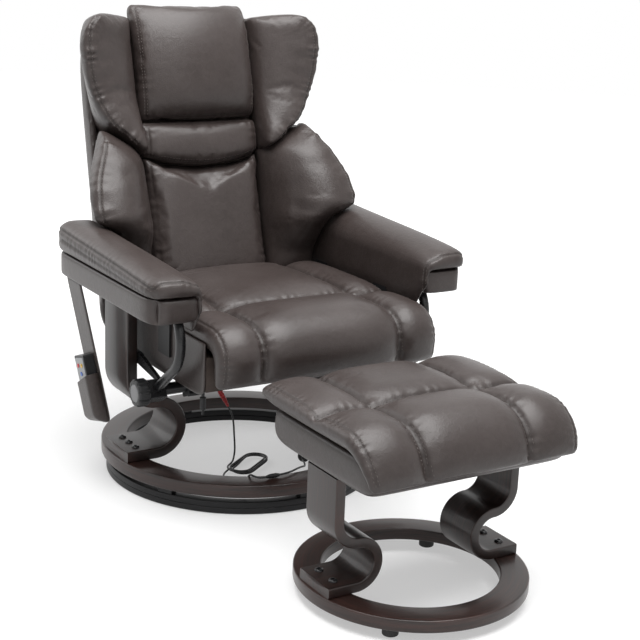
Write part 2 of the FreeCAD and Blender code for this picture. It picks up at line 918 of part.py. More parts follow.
save("seat_deck", box(-rail_outer, rail_outer, rail_front, rail_rear, rail_top, deck_top))

motor = disc(seat_motor_r, seat_motor_height, V(seat_motor_x, seat_motor_y, deck_top))
save("seat_motors", motor, mirrored(motor))


# Seat cushion: row profile crossed with column profile

def crowned(a0, a1, shares, dip, crown, end_a, end_b):
    """Steps along the top of a cushion: an arc per pad, dipping to the channels between pads."""
    edges = [a0] + [a0 + (a1 - a0) * share for share in shares] + [a1]
    heights = [end_a] + [dip] * len(shares) + [end_b]
    steps = []
    for index in range(len(edges) - 1):
        middle = ((edges[index] + edges[index + 1]) / 2, crown)
        steps.append((middle, (edges[index + 1], heights[index + 1])))
    return steps


cushion_bottom = deck_top + seat_gap
cushion_front = rail_front - seat_gap
rows = slab_x(
    -cushion_half - 2 * cushion_side_bulge, cushion_half + 2 * cushion_side_bulge,
    (cushion_rear, cushion_bottom),
    (cushion_front, cushion_bottom),
    (cushion_front, cushion_foot_z),
    (cushion_foot_y, cushion_foot_z),
    ((cushion_nose_y, cushion_nose_z), (cushion_nose_top_y, cushion_nose_top_z)),
    (
        ((cushion_nose_top_y + cushion_channel_y) / 2, cushion_front_crown),
        (cushion_channel_y, cushion_channel_z),
    ),
    (
        ((cushion_channel_y + cushion_rear) / 2, cushion_rear_crown),
        (cushion_rear, cushion_rear_top),
    ),
)
side_middle = (cushion_foot_z + cushion_side_top) / 2
columns = slab_y(
    cushion_nose_y - 2 * cushion_side_bulge, cushion_rear + overrun,
    (-cushion_half, cushion_foot_z - overrun),
    ((-cushion_half - cushion_side_bulge, side_middle), (-cushion_half, cushion_side_top)),
    *crowned(
        -cushion_half, cushion_half, [cushion_column_share, 1 - cushion_column_share],
        cushion_column_dip, cushion_column_crown, cushion_side_top, cushion_side_top,
    ),
    ((cushion_half + cushion_side_bulge, side_middle), (cushion_half, cushion_foot_z - overrun)),
)
cushion_plan = slab_z(
    cushion_foot_z - overrun, cushion_column_crown + overrun,
    *rounded(
        -cushion_half - 2 * cushion_side_bulge, cushion_half + 2 * cushion_side_bulge,
        cushion_nose_y - overrun, cushion_rear,
        cushion_front_r, cushion_front_r, cushion_side_bulge, cushion_side_bulge,
    ),
)
cushion = common(rows, columns, cushion_plan)
for side in (1, -1):
    cushion = cushion.cut(
        disc(
            seat_motor_r + seat_gap, seat_motor_height + seat_gap,
            V(side * seat_motor_x, seat_motor_y, deck_top),
        )
    )
panel_room = slab_x(
    rail_outer - seat_gap, seat_half + 2 * cushion_side_bulge,
    (rail_front - seat_gap, panel_bottom - overrun),
    (cushion_rear + overrun, panel_bottom - overrun),
    (cushion_rear + overrun, panel_top + seat_gap),
    (rail_front - seat_gap, panel_top + seat_gap),
)
cushion = cushion.cut(panel_room).cut(mirrored(panel_room)).Solids[0]
save("seat_cushion", cushion)

# Arms: wrapped box with a slot for the leg, and the padded top


def arm_plan(z0, z1, grow):
    return slab_z(
        z0, z1,
        *rounded(
            arm_inner - grow, arm_outer + grow, arm_front - 2 * grow, arm_rear + 2 * grow,
            arm_inner_corner_r, arm_outer_corner_r, arm_rear_corner_r, arm_inner_corner_r,
        ),
    )


arm_top = arm_bottom + arm_box_height
arm_slot_roof = arm_top - arm_roof_wall
arm_box = arm_plan(arm_bottom, arm_top, 0)
slot_half = ply / 2 + arm_slot_margin
arm_box = arm_box.cut(
    box(
        leg_x - slot_half, leg_x + slot_half, pivot_y - arm_slot_front, pivot_y + arm_slot_rear,
        arm_bottom - overrun, arm_slot_roof,
    )
)
arm_box = arm_box.cut(
    rod_x(pivot_pin_r + pin_clearance, pivot_pin_inner, pivot_pin_outer, pivot_y, pivot_z)
).Solids[0]
save("left_arm_box", arm_box)
save("right_arm_box", mirrored(arm_box))

pad_bottom = arm_top + seat_gap
pad_y0 = arm_front - 2 * pad_overhang
pad_y1 = arm_rear + 2 * pad_overhang
pad_x0 = arm_inner - pad_overhang
pad_x1 = arm_outer + pad_overhang
pad_side = slab_x(
    pad_x0 - overrun, pad_x1 + overrun,
    (pad_y0 - overrun, pad_bottom - overrun),
    (pad_y1 + overrun, pad_bottom - overrun),
    (pad_y1 + overrun, pad_bottom + pad_rear_rise),
    (
        (pad_y1 - corner_share * pad_rear_round, pad_rear_top - corner_share * pad_rear_round),
        (pad_y1 - pad_rear_round, pad_rear_top),
    ),
    (pad_y0 + pad_front_round, pad_front_top),
    (
        (pad_y0 + corner_share * pad_front_round, pad_front_top - corner_share * (pad_front_top - pad_bottom) / 2),
        (pad_y0 - overrun, pad_bottom + pad_front_rise),
    ),
)
pad_middle = (pad_x0 + pad_x1) / 2
pad_edge = pad_bottom + pad_side_rise
pad_cross = slab_y(
    pad_y0 - overrun, pad_y1 + overrun,
    (pad_x1 - pad_side_bulge, pad_bottom - overrun),
    ((pad_x1 - overrun / 2, (pad_bottom + pad_edge) / 2), (pad_x1 - pad_side_bulge, pad_edge)),
    ((pad_middle, pad_edge + pad_crown), (pad_x0 + pad_side_bulge, pad_edge)),
    ((pad_x0 + overrun / 2, (pad_bottom + pad_edge) / 2), (pad_x0 + pad_side_bulge, pad_bottom - overrun)),
)
arm_pad = common(arm_plan(pad_bottom, pad_rear_top + pad_crown, pad_overhang), pad_side, pad_cross)
save("left_arm_pad", arm_pad)
save("right_arm_pad", mirrored(arm_pad))

# Brackets that carry the arms on the seat frame

bracket_solids = []
for middle in arm_bracket_places:
    y0 = middle - arm_bracket_width / 2
    y1 = middle + arm_bracket_width / 2
    upright_plate = box(
        seat_half, seat_half + arm_bracket_thickness, y0, y1, arm_bottom - arm_bracket_drop, arm_bottom,
    )
    shelf = box(
        seat_half, arm_inner + arm_bracket_reach - ply, y0, y1, arm_bottom - arm_bracket_thickness, arm_bottom,
    )
    plate = upright_plate.fuse(shelf).removeSplitter()
    bracket_solids += [plate, mirrored(plate)]
save("arm_fittings", *bracket_solids, *flange_screws)

# Recline hinge

seat_leaf_x = rail_inner - hinge_plate
seat_leaf = slab_x(
    seat_leaf_x, rail_inner,
    (rail_rear, hinge_foot_low),
    (hinge_y + hinge_eye_r, hinge_z),
    ((hinge_y, hinge_z + hinge_eye_r), (hinge_y - hinge_eye_r, hinge_z)),
    (rail_rear + hinge_eye_r, hinge_foot_high),
    (rail_rear, hinge_foot_high),
)
leaf_foot = box(
    rail_inner - hinge_flange, rail_inner, rail_rear, rail_rear + hinge_plate, hinge_foot_low, hinge_foot_high,
)
hinge_bore = rod_x(hinge_pin_r + pin_clearance, 0, seat_half, hinge_y, hinge_z)
seat_leaf = seat_leaf.fuse(leaf_foot).removeSplitter().cut(hinge_bore).Solids[0]
save("seat_hinge_leaves", seat_leaf, mirrored(seat_leaf))

leaf_outer_x = seat_leaf_x - hinge_plate_gap
leaf_inner_x = leaf_outer_x - hinge_plate
recline_pin = rod_x(hinge_pin_r, leaf_inner_x - hinge_plate_gap, rail_inner, hinge_y, hinge_z)
save("pivot_pins", tilt_pin, mirrored(tilt_pin), recline_pin, mirrored(recline_pin))


# Back, drawn upright about the hinge line, then leaned

def leaned(shape):
    shape.rotate(V(0, 0, 0), V(1, 0, 0), -back_lean)
    shape.translate(V(0, hinge_y, hinge_z))
    return shape


def board_y(z, depth):
    """Y of the leaned plane at the given depth from the hinge line, at height z."""
    lean = math.radians(back_lean)
    return hinge_y + math.tan(lean) * (z - hinge_z) + depth / math.cos(lean)


eye = rod_x(hinge_eye_r, leaf_inner_x, leaf_outer_x, 0, 0)
leaf = box(leaf_inner_x, leaf_outer_x, -hinge_leaf_depth, board_front, hinge_leaf_low, hinge_leaf_high)
leaf = leaf.fuse(eye).common(
    box(0, seat_half, -board_half, board_front, -board_half, board_half)
)
leaf = leaf.cut(rod_x(hinge_pin_r + pin_clearance, 0, seat_half, 0, 0)).removeSplitter().Solids[0]
save("back_hinge_leaves", leaned(leaf.copy()), leaned(mirrored(leaf)))

board_rear = board_front + board_thickness
board = slab_y(
    board_front, board_rear,
    *rounded(-board_half, board_half, board_low, board_high, *[board_corner_r] * 4),
)
save("back_board", leaned(board))

shell_front = slab_y(
    board_rear, board_rear + shell_depth,
    (-shell_half + shell_low_r, shell_low),
    (shell_half - shell_low_r, shell_low),
    (
        (shell_half - corner_share * shell_low_r, shell_low + corner_share * shell_low_r),
        (shell_half, shell_low + shell_low_r),
    ),
    (shell_top_half, shell_high - shell_top_r),
    (
        (shell_top_half - corner_share * shell_top_r, shell_high - corner_share * shell_top_r),
        (shell_top_half - shell_top_r, shell_high),
    ),
    (shell_top_r - shell_top_half, shell_high),
    (
        (corner_share * shell_top_r - shell_top_half, shell_high - corner_share * shell_top_r),
        (-shell_top_half, shell_high - shell_top_r),
    ),
    (-shell_half, shell_low + shell_low_r),
    (
        (corner_share * shell_low_r - shell_half, shell_low + corner_share * shell_low_r),
        (shell_low_r - shell_half, shell_low),
    ),
)
shell_rear = board_rear + shell_depth
shell_side = slab_x(
    -shell_half - overrun, shell_half + overrun,
    (board_rear - overrun, shell_low - overrun),
    (shell_rear - shell_rear_bulge, shell_low - overrun),
    ((shell_rear, (shell_low + shell_high) / 2), (shell_rear - shell_rear_bulge, shell_high + overrun)),
    (board_rear - overrun, shell_high + overrun),
)
shell_plan_half = shell_half + overrun
shell_plan = slab_z(
    shell_low - overrun, shell_high + overrun,
    (-shell_plan_half, board_rear - overrun),
    (shell_plan_half, board_rear - overrun),
    (shell_plan_half, shell_rear - 2 * shell_rear_bulge),
    ((0, shell_rear + shell_rear_bulge / 2), (-shell_plan_half, shell_rear - 2 * shell_rear_bulge)),
)
save("back_shell", leaned(common(shell_front, shell_side, shell_plan)))

# Cushions on the front of the back board

cushion_back = board_front - seat_gap


def front_pad(front_view, half, low, high, front, crown, top_draw):
    """Pad whose front swells by crown between drawn-in edges, cut to its front view."""
    edge = front + crown
    base = low - overrun
    top = high + overrun
    out = half + overrun
    behind = cushion_back + overrun
    side = slab_x(
        -out, out,
        (behind, base),
        (edge, base),
        ((front, (low + high) / 2), (edge + top_draw, top)),
        (behind, top),
    )
    plan = slab_z(
        base, top,
        (-out, behind),
        (-out, edge),
        ((0, front - crown / 2), (out, edge)),
        (out, behind),
    )
    return common(front_view, side, plan)


lumbar_edge = lumbar_high + lumbar_smile
lumbar_view = slab_y(
    lumbar_front - 2 * lumbar_crown, cushion_back,
    (-panel_half, lumbar_low),
    (panel_half, lumbar_low),
    (panel_half, lumbar_edge),
    ((0, lumbar_high), (-panel_half, lumbar_edge)),
)
lumbar = front_pad(lumbar_view, panel_half, lumbar_low, lumbar_edge, lumbar_front, lumbar_crown, 0)
back_motors = []
for height in back_motor_heights:
    for side in (1, -1):
        start = V(side * back_motor_x, board_front - back_motor_height, height)
        end = V(side * back_motor_x, board_front, height)
        back_motors.append(rod(back_motor_r, start, end))
        room = V(0, seat_gap, 0)
        lumbar = lumbar.cut(rod(back_motor_r + seat_gap, start - room, end + room))
save("lumbar_panel", leaned(lumbar.Solids[0]))
save("back_motors", *[leaned(motor) for motor in back_motors])

band_view = slab_y(
    band_front - 2 * lumbar_crown, cushion_back,
    (-panel_half, lumbar_edge + seat_gap),
    ((0, lumbar_high + seat_gap), (panel_half, lumbar_edge + seat_gap)),
    (panel_half, band_high),
    (-panel_half, band_high),
)
band = front_pad(band_view, panel_half, lumbar_high, band_high, band_front, lumbar_crown, 0)
save("neck_band", leaned(band))

pillow_low = band_high + seat_gap
pillow_view = slab_y(
    pillow_front - 2 * pillow_crown, cushion_back,
    *rounded(
        -panel_half, panel_half, pillow_low, pillow_high,
        pillow_top_r / 2, pillow_top_r / 2, pillow_top_r, pillow_top_r,
    ),
)
pillow = front_pad(pillow_view, panel_half, pillow_low, pillow_high, pillow_front, pillow_crown, pillow_crown)
save("head_pillow", leaned(pillow))


pad_inner = panel_half + panel_gap
wing_view = slab_y(
    wing_front - overrun, cushion_back,
    (pad_inner, wing_tip),
    (wing_tip_x, wing_tip),
    ((wing_flare_x, wing_flare), (wing_side_x, wing_side)),
    ((wing_shoulder_x, wing_shoulder), (wing_top_x, wing_high)),
    (pad_inner, wing_high),
)
wing_corner = wing_round * corner_share
wing_section = slab_z(
    wing_tip - overrun, wing_high + overrun,
    (pad_inner - overrun, cushion_back + overrun),
    (pad_inner - overrun, wing_inner_front),
    (
        ((pad_inner + wing_side_x - wing_round) / 2, (wing_inner_front + wing_front) / 2 - wing_swell),
        (wing_side_x - wing_round, wing_front),
    ),
    (
        (wing_side_x - wing_corner, wing_front + wing_corner),
        (wing_side_x + overrun, wing_front + wing_round),
    ),
    (wing_rear_x, cushion_back + overrun),
)
wing = leaned(common(wing_view, wing_section))
save("left_wing", wing)
save("right_wing", mirrored(wing))

bolster_side = slab_x(
    pad_inner, bolster_side_x + overrun,
    (board_y(bolster_top_z, cushion_back - bolster_gap), bolster_top_z),
    (bolster_top_y, bolster_top_z),
    ((bolster_brow_y, bolster_brow_z), (bolster_nose_y, bolster_nose_z)),
    ((bolster_chin_y, bolster_chin_z), (bolster_low_y, bolster_low)),
    (board_y(bolster_low, cushion_back - bolster_gap), bolster_low),
)
bolster_front = slab_y(
    bolster_chin_y - bolster_round, bolster_top_y + bolster_round,
    (pad_inner - overrun, bolster_low - overrun),
    (bolster_foot_x, bolster_low - overrun),
    (bolster_neck_x, bolster_neck_z),
    (bolster_side_x - overrun, bolster_over_arm_z),
    ((bolster_side_x, bolster_side_z), (bolster_shoulder_x, bolster_shoulder_z)),
    (bolster_top_x, bolster_top_z + overrun),
    (pad_inner - overrun, bolster_top_z + overrun),
)
bolster_plan = leaned(slab_z(
    lumbar_low, bolster_top_z,
    (pad_inner - overrun, cushion_back + overrun),
    (pad_inner - overrun, bolster_inner_depth),
    (
        ((pad_inner + bolster_crest_x) / 2 + bolster_swell, (bolster_inner_depth + bolster_crest_depth) / 2),
        (bolster_crest_x, bolster_crest_depth),
    ),
    (bolster_side_x, bolster_crest_depth),
    (bolster_side_x, bolster_inner_depth),
    (bolster_rear_x, cushion_back + overrun),
))
bolster = common(bolster_side, bolster_front, bolster_plan).cut(wing)
bolster = max(bolster.Solids, key=lambda solid: solid.Volume)
save("left_bolster", bolster)
save("right_bolster", mirrored(bolster))


# Handset pouch: drawn hanging from its top edge, outward along -X, then swung and canted

def hung(shape):
    shape.rotate(V(0, 0, 0), V(1, 0, 0), -pouch_swing)
    shape.rotate(V(0, 0, 0), V(0, 1, 0), -pouch_cant)
    shape.translate(pouch_top)
    return shape


strap_half = strap_width / 2
strap = slab_x(
    -strap_thickness, 0,
    *rounded(
        -strap_half, strap_half, -strap_length, strap_width / 2,
        strap_corner_r, strap_corner_r, strap_thickness, strap_thickness,
    ),
)
pocket_low = -pocket_mouth - pocket_depth
pocket_front = -strap_thickness - pocket_inside - pocket_wall
pocket = box(pocket_front, -strap_thickness, -strap_half, strap_half, pocket_low, -pocket_mouth)
pocket = pocket.cut(
    box(
        pocket_front + pocket_wall, -strap_thickness, pocket_wall - strap_half, strap_half - pocket_wall,
        pocket_low + pocket_wall, overrun - pocket_mouth,
    )
)
pouch = hung(strap.fuse(pocket).removeSplitter())
pouch = pouch.common(box(2 * -arm_outer, 0, -arm_outer, arm_outer, 0, arm_bottom))
save("handset_pouch", pouch.Solids[0])

handset_back = -strap_thickness - handset_gap
handset_front = handset_back - handset_thickness
handset_low = pocket_low + pocket_wall + seat_gap
handset_high = handset_low + handset_length
handset = box(handset_front, handset_back, -handset_width / 2, handset_width / 2, handset_low, handset_high)
handset = round_edges(handset, handset_edge_r, lambda edge: edge.BoundBox.XLength > overrun)
face = slab_x(
    handset_front - face_thickness, handset_front,
    *rounded(
        face_margin - handset_width / 2, handset_width / 2 - face_margin,
        handset_low + face_margin, handset_high - face_margin, *[handset_edge_r] * 4,
    ),
)
button_front = handset_front - face_thickness - button_proud
button_high = handset_high - button_top_drop
button_places = {
    "power_button": (button_pitch_x / 2, button_high),
    "heat_button": (-button_pitch_x / 2, button_high),
    "mode_button": (0, button_high - button_pitch_z),
}
for name, (y, z) in button_places.items():
    well = rod_x(button_r + slide_clearance, button_front, handset_front + button_well, y, z)
    handset = handset.cut(well)
    face = face.cut(well)
    button = rod_x(button_r, button_front, handset_front + button_depth, y, z)
    save(name, hung(button))
save("handset", hung(handset.Solids[0]))
save("handset_face", hung(face.Solids[0]))


# Footstool, drawn about its own centre and moved in front of the chair

def at_stool(shape):
    shape.translate(V(stool_x, stool_y, 0))
    return shape


stool_ring_top = stool_ring_bottom + stool_ring_thickness
stool_ring_middle = (stool_ring_outer_r + stool_ring_inner_r) / 2
stool_ring = ring(stool_ring_outer_r, stool_ring_inner_r, stool_ring_bottom, stool_ring_thickness)
stool_ring = bevel_edges(stool_ring, ring_bevel, lambda edge: edge.BoundBox.XLength > stool_ring_inner_r)
save("stool_ring", at_stool(stool_ring))

stool_feet = []
for index in range(stool_feet_count):
    turn = math.radians(stool_foot_angle + 360 * index / stool_feet_count)
    place = V(stool_ring_middle * math.cos(turn), stool_ring_middle * math.sin(turn), 0)
    stool_feet.append(at_stool(disc(stool_foot_r, stool_ring_bottom, place)))
save("stool_feet", *stool_feet)

stool_leg = s_leg(
    stool_bend_x, stool_bend_r, stool_ply, stool_leg_width, stool_ring_top, stool_ring_outer_r, stool_box_bottom,
)
stool_leg = stool_leg.common(disc(stool_ring_outer_r - ring_bevel, stool_box_bottom, V(0, 0, 0))).Solids[0]
save("stool_legs", at_stool(stool_leg.copy()), at_stool(mirrored(stool_leg)))

stool_bolts = []
for side in (1, -1):
    for row in (-1, 1):
        bolt = domed_bolt(side * stool_bolt_x, row * stool_bolt_pitch / 2, stool_ring_top + stool_ply)
        stool_bolts.append(at_stool(bolt))
save("stool_bolts", *stool_bolts)

stool_box_top = stool_box_bottom + stool_box_height
stool_edge_r = stool_box_corner_r / 4
stool_corners = [stool_box_corner_r, stool_box_corner_r, stool_edge_r, stool_edge_r]
stool_box = common(
    slab_y(
        -stool_half_y, stool_half_y,
        *rounded(-stool_half_x, stool_half_x, stool_box_bottom, stool_box_top, *stool_corners),
    ),
    slab_x(
        -stool_half_x, stool_half_x,
        *rounded(-stool_half_y, stool_half_y, stool_box_bottom, stool_box_top, *stool_corners),
    ),
)
save("stool_box", at_stool(stool_box))

stool_pad_bottom = stool_box_top + seat_gap
stool_pad_edge = stool_pad_bottom + stool_pad_side


stool_crown_z = stool_pad_bottom + stool_pad_crown
stool_dip_z = stool_pad_bottom + stool_pad_dip
edge_middle = (stool_pad_bottom + stool_pad_edge) / 2
stool_out_x = stool_pad_half_x + stool_pad_bulge
stool_out_y = stool_pad_half_y + stool_pad_bulge
stool_columns = slab_y(
    stool_nose_y - overrun, stool_out_y + overrun,
    (-stool_pad_half_x, stool_nose_foot_z - overrun),
    ((-stool_out_x, edge_middle), (-stool_pad_half_x, stool_pad_edge)),
    *crowned(
        -stool_pad_half_x, stool_pad_half_x, [stool_column_share, 1 - stool_column_share],
        stool_dip_z, stool_crown_z, stool_pad_edge, stool_pad_edge,
    ),
    ((stool_out_x, edge_middle), (stool_pad_half_x, stool_nose_foot_z - overrun)),
)
stool_box_front = -stool_half_y - seat_gap
stool_rows = slab_x(
    -stool_out_x - overrun, stool_out_x + overrun,
    (stool_pad_half_y, stool_pad_bottom),
    (stool_box_front, stool_pad_bottom),
    (stool_box_front, stool_nose_foot_z),
    (stool_nose_foot_y, stool_nose_foot_z),
    ((stool_nose_y, stool_nose_z), (stool_nose_top_y, stool_pad_edge)),
    (((stool_nose_top_y + stool_row_y) / 2, stool_crown_z), (stool_row_y, stool_dip_z)),
    (((stool_row_y + stool_pad_half_y) / 2, stool_crown_z), (stool_pad_half_y, stool_pad_edge)),
    ((stool_out_y, edge_middle), (stool_pad_half_y, stool_pad_bottom)),
)
stool_plan = slab_z(
    stool_nose_foot_z - overrun, stool_crown_z + overrun,
    *rounded(
        -stool_out_x - overrun, stool_out_x + overrun, stool_nose_y - overrun, stool_out_y + overrun,
        *[stool_pad_corner_r] * 4,
    ),
)
stool_cushion = common(stool_columns, stool_rows, stool_plan)
save("stool_cushion", at_stool(stool_cushion))
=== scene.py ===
# %% [markdown]
# # A massage recliner and its footstool
# The chair stands on a wooden ring that turns on a steel track. Two bent plywood legs carry
# a padded seat, which tilts with its arms on curved steel tubes, and a back that leans with it.
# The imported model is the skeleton: it says where everything is and how it moves.
# This lesson dresses it, piece by piece, from the floor lead up to the headrest.

# %% Load the skeleton
import math

import bmesh
import bpy
import numpy as np
from mathutils import Matrix, Vector
from mathutils.bvhtree import BVHTree


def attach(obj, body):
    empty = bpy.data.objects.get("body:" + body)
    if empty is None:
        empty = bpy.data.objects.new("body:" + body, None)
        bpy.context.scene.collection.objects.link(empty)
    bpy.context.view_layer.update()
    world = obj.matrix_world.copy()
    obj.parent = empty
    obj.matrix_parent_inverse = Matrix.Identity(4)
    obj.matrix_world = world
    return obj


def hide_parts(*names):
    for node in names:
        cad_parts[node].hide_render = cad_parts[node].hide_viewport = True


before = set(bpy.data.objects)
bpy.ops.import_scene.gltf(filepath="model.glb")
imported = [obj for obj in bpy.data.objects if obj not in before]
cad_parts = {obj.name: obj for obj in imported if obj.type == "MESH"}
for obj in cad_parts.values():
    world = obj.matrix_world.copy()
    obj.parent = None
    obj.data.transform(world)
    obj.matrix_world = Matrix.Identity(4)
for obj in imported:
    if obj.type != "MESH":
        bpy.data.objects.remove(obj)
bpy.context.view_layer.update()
scene = bpy.context.scene
MM = 0.001

# %% [markdown]
# ## The camera
# A product picture is taken from a little above the seat, with a long lens, so that the chair
# keeps its proportions. The view is written as an eye point, a gaze and a small roll.
# Building the camera's matrix from those three is safer than turning angles one by one.

# %% Photograph's view
EYE = np.array([-1.4467, -2.6383, 1.1714])
GAZE = np.array([0.5116, 0.8188, -0.2605])
LEVEL = np.array([0.8480, -0.5299, 0.0])
ROLL = math.radians(2.27)


def unit(vector):
    """The vector divided by its own length."""
    vector = np.asarray(vector, float)
    return vector / np.linalg.norm(vector)


gaze = unit(GAZE)
level = unit(LEVEL)
above = np.cross(level, gaze)
right = math.cos(ROLL) * level + math.sin(ROLL) * above
up = math.cos(ROLL) * above - math.sin(ROLL) * level
lens = bpy.data.cameras.new("photo_view")
lens.sensor_width = 36.0
lens.lens = 78.26
lens.shift_y = -0.0105
camera = bpy.data.objects.new("photo_view", lens)
turned_view = np.eye(4)
turned_view[:3] = np.stack([right, up, -gaze, EYE], axis=1)
camera.matrix_world = Matrix(turned_view.tolist())
scene.collection.objects.link(camera)
scene.camera = camera
print("camera at", EYE, "lens", lens.lens)

# %% [markdown]
# ## Shader sums in plain Python
# A finish is a small sum: leather grain plus creases, minus the shade in a seam.
# Wiring each sum by hand is slow to read, so one class wraps a socket and lets Python's
# own +, -, * and / add the Math nodes. Its method node() adds any other kind of node.

# %% A socket that can be added and multiplied


class Paint:
    """A socket of a finish's node tree; arithmetic on it adds Math nodes."""

    def __init__(self, tree, socket=None):
        self.tree = tree
        self.socket = socket

    def node(self, kind, settings=None, sockets=None, out=0):
        """Add a node of this kind: its settings first, then the values or links of its sockets."""
        node = self.tree.nodes.new("ShaderNode" + kind)
        for name, value in (settings or {}).items():
            setattr(node, name, value)
        for name, value in (sockets or {}).items():
            if isinstance(value, Paint):
                self.tree.links.new(value.socket, node.inputs[name])
            else:
                node.inputs[name].default_value = value
        return Paint(self.tree, node.outputs[out])

    def maths(self, operation, first, second):
        return self.node("Math", {"operation": operation}, {0: first, 1: second})

    def blend(self, share, first, second, how="MIX"):
        """Colour between first and second by share, through a Mix node."""
        settings = {"data_type": "RGBA", "blend_type": how}
        return self.node("Mix", settings, {0: share, 6: first, 7: second}, out=2)

    def place(self):
        """The shaded point, in the object's own coordinates."""
        return self.node("TexCoord", out="Object")

    def noise(self, where, scale, detail, roughness=0.5, distortion=0.0):
        """Fractal noise of a place, with layers of detail below its scale."""
        sockets = {"Vector": where, "Scale": scale, "Detail": detail}
        sockets.update({"Roughness": roughness, "Distortion": distortion})
        return self.node("TexNoise", {}, sockets)

    def bump(self, height, strength, distance):
        """A normal that follows the slopes of a height."""
        return self.node("Bump", {}, {"Strength": strength, "Distance": distance, "Height": height})

    def __add__(self, other):
        return self.maths("ADD", self, other)

    def __sub__(self, other):
        return self.maths("SUBTRACT", self, other)

    def __rsub__(self, other):
        return self.maths("SUBTRACT", other, self)

    def __mul__(self, other):
        return self.maths("MULTIPLY", self, other)

    def __truediv__(self, other):
        return self.maths("DIVIDE", self, other)

    def __rtruediv__(self, other):
        return self.maths("DIVIDE", other, self)

    def __pow__(self, other):
        return self.maths("POWER", self, other)

    __radd__ = __add__
    __rmul__ = __mul__


finishes = {}


def make_finish(name, recipe, **fixed):
    """A Principled material: fixed numbers go on its sockets, and the recipe links what varies."""
    material = bpy.data.materials.new(name)
    material.use_nodes = True
    shader = material.node_tree.nodes["Principled BSDF"]
    for socket, value in fixed.items():
        shader.inputs[socket.replace("_", " ")].default_value = value
    for socket, paint in recipe(Paint(material.node_tree)).items():
        material.node_tree.links.new(paint.socket, shader.inputs[socket])
    finishes[name] = material


print("Paint is ready")

# %% [markdown]
# ## Leather
# The cover is a satin, dark taupe leather. Up close it has a pebble grain about a millimetre
# across, fine creases, and clouds of slightly lighter and darker dye. Along the sewn lines it
# is darker, with painted seam shade and some dirt, and duller.
# Three noises at three scales give that, and a "sewn" attribute on each pad marks the seams, where the
# shade and dirt are painted.

# %% Leather and thread
LEATHER_DARK = (0.029, 0.0215, 0.0195, 1.0)
LEATHER_LIGHT = (0.052, 0.0415, 0.039, 1.0)
# Multiplier colour for the painted seam shade, with some dirt, along the sewn lines.
SEAM_SHADE_AND_DIRT = (0.55, 0.52, 0.5, 1.0)
THREAD_DARK = (0.05, 0.04, 0.036, 1.0)
THREAD_LIGHT = (0.16, 0.14, 0.13, 1.0)


def leather(paint):
    where = paint.place()
    sewn = paint.node("Attribute", {"attribute_name": "sewn"}, out="Fac")
    cloud = paint.noise(where, 7.0, 5.0, 0.6)
    crease = paint.noise(where, 85.0, 6.0, 0.62, 0.8)
    pebble = paint.node("TexVoronoi", {"feature": "SMOOTH_F1"}, {"Vector": where, "Scale": 620.0})
    pore = paint.noise(where, 1500.0, 2.0)
    mottle = {"Value": cloud * 0.6 + crease * 0.4, "From Min": 0.32, "From Max": 0.68}
    colour = paint.blend(paint.node("MapRange", {}, mottle), LEATHER_DARK, LEATHER_LIGHT)
    # Painted shade, with some dirt, darkens the colour along the seams by the sewn attribute.
    colour = paint.blend(sewn, colour, paint.blend(1.0, colour, SEAM_SHADE_AND_DIRT, "MULTIPLY"))
    return {
        "Base Color": colour,
        "Roughness": 0.25 + cloud * 0.11 + pebble * 0.1 + sewn * 0.16,
        "Normal": paint.bump(pebble * 0.55 + pore * 0.12 + crease * 1.3, 0.34, 0.0012),
    }


def thread(paint):
    twist = paint.noise(paint.place(), 900.0, 2.0)
    return {
        "Base Color": paint.blend(twist, THREAD_DARK, THREAD_LIGHT),
        "Roughness": 0.5 + twist * 0.25,
    }


make_finish("satin_leather", leather, Specular_IOR_Level=0.37)
make_finish("seam_thread", thread)
print("leather finishes:", sorted(finishes))

# %% [markdown]
# ## Dark wood
# Rings and legs are stained nearly black, with a warm red-brown showing where light grazes
# them, under a soft gloss lacquer. The ring's fibres run round it, so its noise is stretched
# by the distance from the ring's own centre. The bent legs are plywood: their fibres run up
# the leg, and their edges show thin layers, which a "layer" attribute counts across the board.

# %% Stained wood
WOOD_DARK = (0.010, 0.006, 0.005, 1.0)
WOOD_RED = (0.042, 0.018, 0.014, 1.0)
PLY_DARK = (0.03, 0.02, 0.016, 1.0)
PLY_LIGHT = (0.06, 0.042, 0.034, 1.0)
FIBRE_PITCH = 260.0
FIBRE_LENGTH = 9.0
PLY_FIBRES = (9.0, 200.0, 200.0)


def stretched(paint, by):
    return paint.node("VectorMath", {"operation": "MULTIPLY"}, {0: paint.place(), 1: by})


def stained(paint, fibres, layers):
    streak = paint.noise(fibres, 1.0, 6.0, 0.65, 0.4)
    stain = {"Value": streak - layers * 0.1, "From Min": 0.34, "From Max": 0.68}
    return {
        "Base Color": paint.blend(paint.node("MapRange", {}, stain), WOOD_DARK, WOOD_RED),
        "Roughness": 0.27 + streak * 0.16 + layers * 0.06,
        "Normal": paint.bump(streak, 0.2, 0.0006),
    }


def ring_wood(middle_x, middle_y):
    """Fibres of a ring: fast change with the distance from its centre, slow change round it."""

    def recipe(paint):
        sockets = {0: paint.place(), 1: (middle_x, middle_y, 0.0)}
        middle = paint.node("VectorMath", {"operation": "SUBTRACT"}, sockets)
        east, north, height = [paint.node("SeparateXYZ", {}, {0: middle}, out=k) for k in range(3)]
        away = (east * east + north * north) ** 0.5
        across = (away + height * 0.6) * FIBRE_PITCH
        round_it = {0: east * FIBRE_LENGTH, 1: north * FIBRE_LENGTH, 2: across}
        return stained(paint, paint.node("CombineXYZ", {}, round_it), height * 0.0)

    return recipe


def leg_wood(paint):
    layer = paint.node("Attribute", {"attribute_name": "layer"}, out="Fac")
    lines = paint.maths("PINGPONG", layer * 3.5, 0.5) * 2.0
    return stained(paint, stretched(paint, (FIBRE_LENGTH, FIBRE_PITCH, FIBRE_LENGTH)), lines)


def dark_ply(paint):
    streak = paint.noise(stretched(paint, PLY_FIBRES), 1.0, 4.0)
    return {
        "Base Color": paint.blend(streak, PLY_DARK, PLY_LIGHT),
        "Roughness": 0.55 + streak * 0.2,
    }


